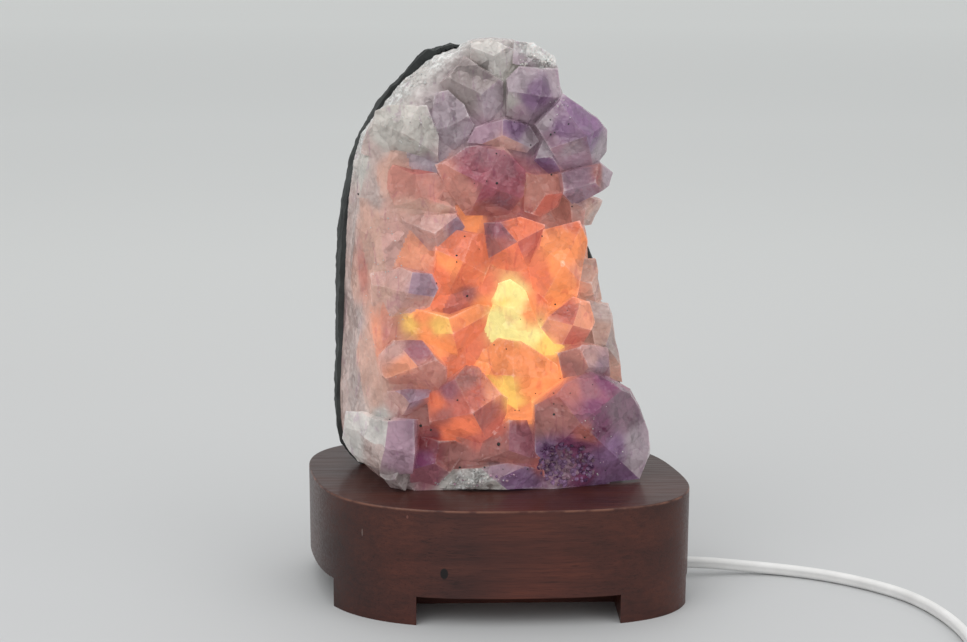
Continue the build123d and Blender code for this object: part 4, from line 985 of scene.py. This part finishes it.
def add_stone(finishes, trees):
    """The stone with its facets, looks and roughness, its beds of crystals and its specks."""
    source = bmesh.new()
    source.from_mesh(nodes["crystal_cluster"].data)
    bmesh.ops.remove_doubles(source, verts=source.verts, dist=1e-6)
    source.faces.ensure_lookup_table()
    facet_of = planar_facets(source)
    tree = BVHTree.FromBMesh(source)
    source.free()
    mesh = even_mesh("crystal_cluster")
    frosting = paint_stone(mesh, tree, facet_of)
    paint_edge_highlight_and_wear(mesh)
    roughen(mesh, frosting, tree)
    round_off(mesh, trees, True)
    piece = new_object("stone", mesh, finishes["amethyst"])
    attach(piece, "crystal")
    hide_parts("crystal_cluster")
    surface = BVHTree.FromPolygons([vertex.co for vertex in mesh.vertices],
                                   [face.vertices for face in mesh.polygons])
    add_beds(surface, finishes)
    add_specks(surface, finishes)


def stone_piece(name, shape, material):
    """A piece of many small solids, which rides with the stone."""
    piece = new_object(name, finished_mesh(name, shape), material)
    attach(piece, "crystal")
    return piece


def small_crystal(shape, frame_at, size, chance):
    """A six-sided crystal with a pointed end, half sunk; gives back its faces."""
    length = size * chance.uniform(*CRYSTAL_LENGTHS)
    leans = [chance.uniform(*limits) for limits in (CRYSTAL_LEAN, CRYSTAL_LEAN, CRYSTAL_TURN)]
    turned = frame_at @ Euler(leans).to_matrix().to_4x4()
    rings = []
    for width, height in CRYSTAL_RINGS:
        ring = []
        for side in range(CRYSTAL_SIDES):
            angle = 2 * math.pi * side / CRYSTAL_SIDES
            across = size * width
            corner = Vector((across * math.cos(angle), across * math.sin(angle), length * height))
            ring.append(shape.verts.new(turned @ corner))
        rings.append(ring)
    low, high = rings
    tip = shape.verts.new(turned @ Vector((0, 0, length * CRYSTAL_TIP)))
    faces = [shape.faces.new(low)]
    for side in range(CRYSTAL_SIDES):
        following = (side + 1) % CRYSTAL_SIDES
        faces.append(shape.faces.new((low[side], low[following], high[following], high[side])))
        faces.append(shape.faces.new((high[side], high[following], tip)))
    return faces


def add_beds(tree, finishes):
    """Beds of small crystals where the photograph shows glittering patches."""
    chance = random.Random(BED_SEED)
    shape = bmesh.new()
    looks = []
    for x, z, half_width, half_height, count, size, tints in BEDS:
        for _ in range(count):
            around = chance.uniform(0, 2 * math.pi)
            out = math.sqrt(chance.random())
            place, normal, face = front_place(tree, x + half_width * out * math.cos(around),
                                              z + half_height * out * math.sin(around))
            if face is None or place.z < STONE_FOOT + BED_CLEARANCE:
                continue
            outward = normal.to_track_quat("Z", "X").to_matrix().to_4x4()
            grown = size / 1000 * chance.uniform(*BED_SIZES)
            colour, frosting, lit = TINTS[chance.choice(tints)]
            shade = chance.uniform(*BED_SHADES)
            faces = small_crystal(shape, Matrix.Translation(place) @ outward, grown, chance)
            look = [*(part * shade for part in colour), frosting * BED_FROSTING, lit]
            looks += [look] * len(faces)
    piece = stone_piece("small_crystals", shape, finishes["amethyst"])
    write_looks(piece.data, "FACE", looks)


def add_specks(tree, finishes):
    """Dark mineral specks in the surface."""
    chance = random.Random(SPECK_SEED)
    shape = bmesh.new()
    for x, z, size in SPECKS:
        place, normal, face = front_place(tree, x, z)
        if face is None:
            continue
        middle = Matrix.Translation(place + normal * SPECK_PROUD)
        turn = Euler([chance.uniform(*SPECK_TURN), chance.uniform(*SPECK_TURN), 0])
        wide, tall = chance.uniform(*SPECK_SQUASH), chance.uniform(*SPECK_SQUASH)
        squash = Matrix.Diagonal((wide, 1, tall, 1))
        bmesh.ops.create_icosphere(shape, subdivisions=2, radius=size / 1000 / SPECK_SHRINK,
                                   matrix=middle @ turn.to_matrix().to_4x4() @ squash)
    piece = stone_piece("specks", shape, finishes["dark_rind"])


def roughen(mesh, frosting, tree):
    """Waves on the facets, a broken surface where frosted, hollows, and lumps on the right rim."""
    hollows = [(front_place(tree, x, z)[0], half_width / 1000, half_height / 1000, depth / 1000)
               for x, z, half_width, half_height, depth in HOLLOWS]
    normals = [vertex.normal.copy() for vertex in mesh.vertices]
    for vertex, normal, share in zip(mesh.vertices, normals, frosting):
        place = vertex.co
        lift = lump(place, *FACET_WAVES)
        lift += share * sum(lump(place, *layer) for layer in FROST_LUMPS)
        rim = rise(place.x, *RIGHT_RIM_X) * rise(place.z, *RIGHT_RIM_LOW)
        rim *= fall(place.z, *RIGHT_RIM_HIGH)
        lift += rim * lump(place, *RIGHT_RIM_LUMPS)
        for middle, half_width, half_height, depth in hollows:
            gap = place - middle
            inside = HOLLOW_SPREAD - (gap.x / half_width) ** 2 - (gap.z / half_height) ** 2
            if normal.y < HOLLOW_FACING and abs(gap.y) < HOLLOW_REACH:
                lift -= clamp(inside) * depth * (HOLLOW_FLOOR + lump(place, *HOLLOW_LUMPS))
        if place.z > STONE_FOOT + FOOT_CLEARANCE:
            vertex.co = place + normal * lift * fall(place.y, COAT_RIM + RIM_FADE, RIM_FADE)


def add_coat(finishes, trees):
    """The dark rind on the back, with lumps and a thickness that varies as in the photograph."""
    mesh = even_mesh("back_coat")
    round_off(mesh, trees, False)
    rounded = trees[1]
    for vertex in mesh.vertices:
        offset = vertex.co - STONE_HEART
        heading = offset.normalized()
        bare = rounded.ray_cast(STONE_HEART, heading)[3]
        outer = rise(offset.length, bare, COAT_OUTER_DEPTH) * fall(heading.x, *LEFT_HEADING)
        lumps = COAT_LIFT + sum(lump(vertex.co, *layer) for layer in COAT_LUMPS)
        vertex.co += heading * outer * (proud(COAT_PROUD, vertex.co.z) + lumps)
        along = Vector((vertex.co.x, 0, vertex.co.z))
        vertex.co.y += fall(vertex.co.y, *COAT_RIM_BAND) * lump(along, *COAT_RIM_WAVES)
        vertex.co.z = max(vertex.co.z, STONE_FOOT)
    piece = new_object("coat", mesh, finishes["dark_rind"])
    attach(piece, "crystal")
    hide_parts("back_coat")


# Floor, background and lights

def add_stage():
    """A wide floor that gets lighter towards the back, with painted shade near the lamp."""
    mesh = bpy.data.meshes.new("floor")
    reach = FLOOR_REACH
    corners = [(-reach, -reach, 0), (reach, -reach, 0), (reach, reach, 0), (-reach, reach, 0)]
    mesh.from_pydata(corners, [], [(0, 1, 2, 3)])
    recipe = Recipe("floor")
    away = recipe.node("SeparateXYZ", "Y", None, Vector=recipe.place)
    share = recipe.weigh(away, 0.125, recipe.noise(3, 2), 0.01)
    recipe.set(Base_Color=recipe.ramp(share, FLOOR_SHADE_TONES), Roughness=0.7)
    floor = new_object("floor", mesh, recipe.material)


def add_world():
    world = bpy.data.worlds.new("studio")
    bpy.context.scene.world = world
    world.use_nodes = True
    background = world.node_tree.nodes["Background"]
    background.inputs["Color"].default_value = (1, 1, 1, 1)
    background.inputs["Strength"].default_value = BACKGROUND_STRENGTH


def add_lights():
    """Large soft square lights that face the lamp's middle."""
    for name, place, width, power in LIGHTS:
        data = bpy.data.lights.new(name, "AREA")
        data.shape = "RECTANGLE"
        data.size = width
        data.size_y = width
        data.energy = power
        light = placed(name, data)
        light.location = place
        heading = Vector(LIGHTS_AIM) - Vector(place)
        light.rotation_euler = heading.to_track_quat("-Z", "Y").to_euler()


finishes = finish_nodes()
add_camera()
add_cords(finishes)
stone_trees = body_trees()
add_stone(finishes, stone_trees)
add_coat(finishes, stone_trees)
add_stage()
add_world()
add_lights()
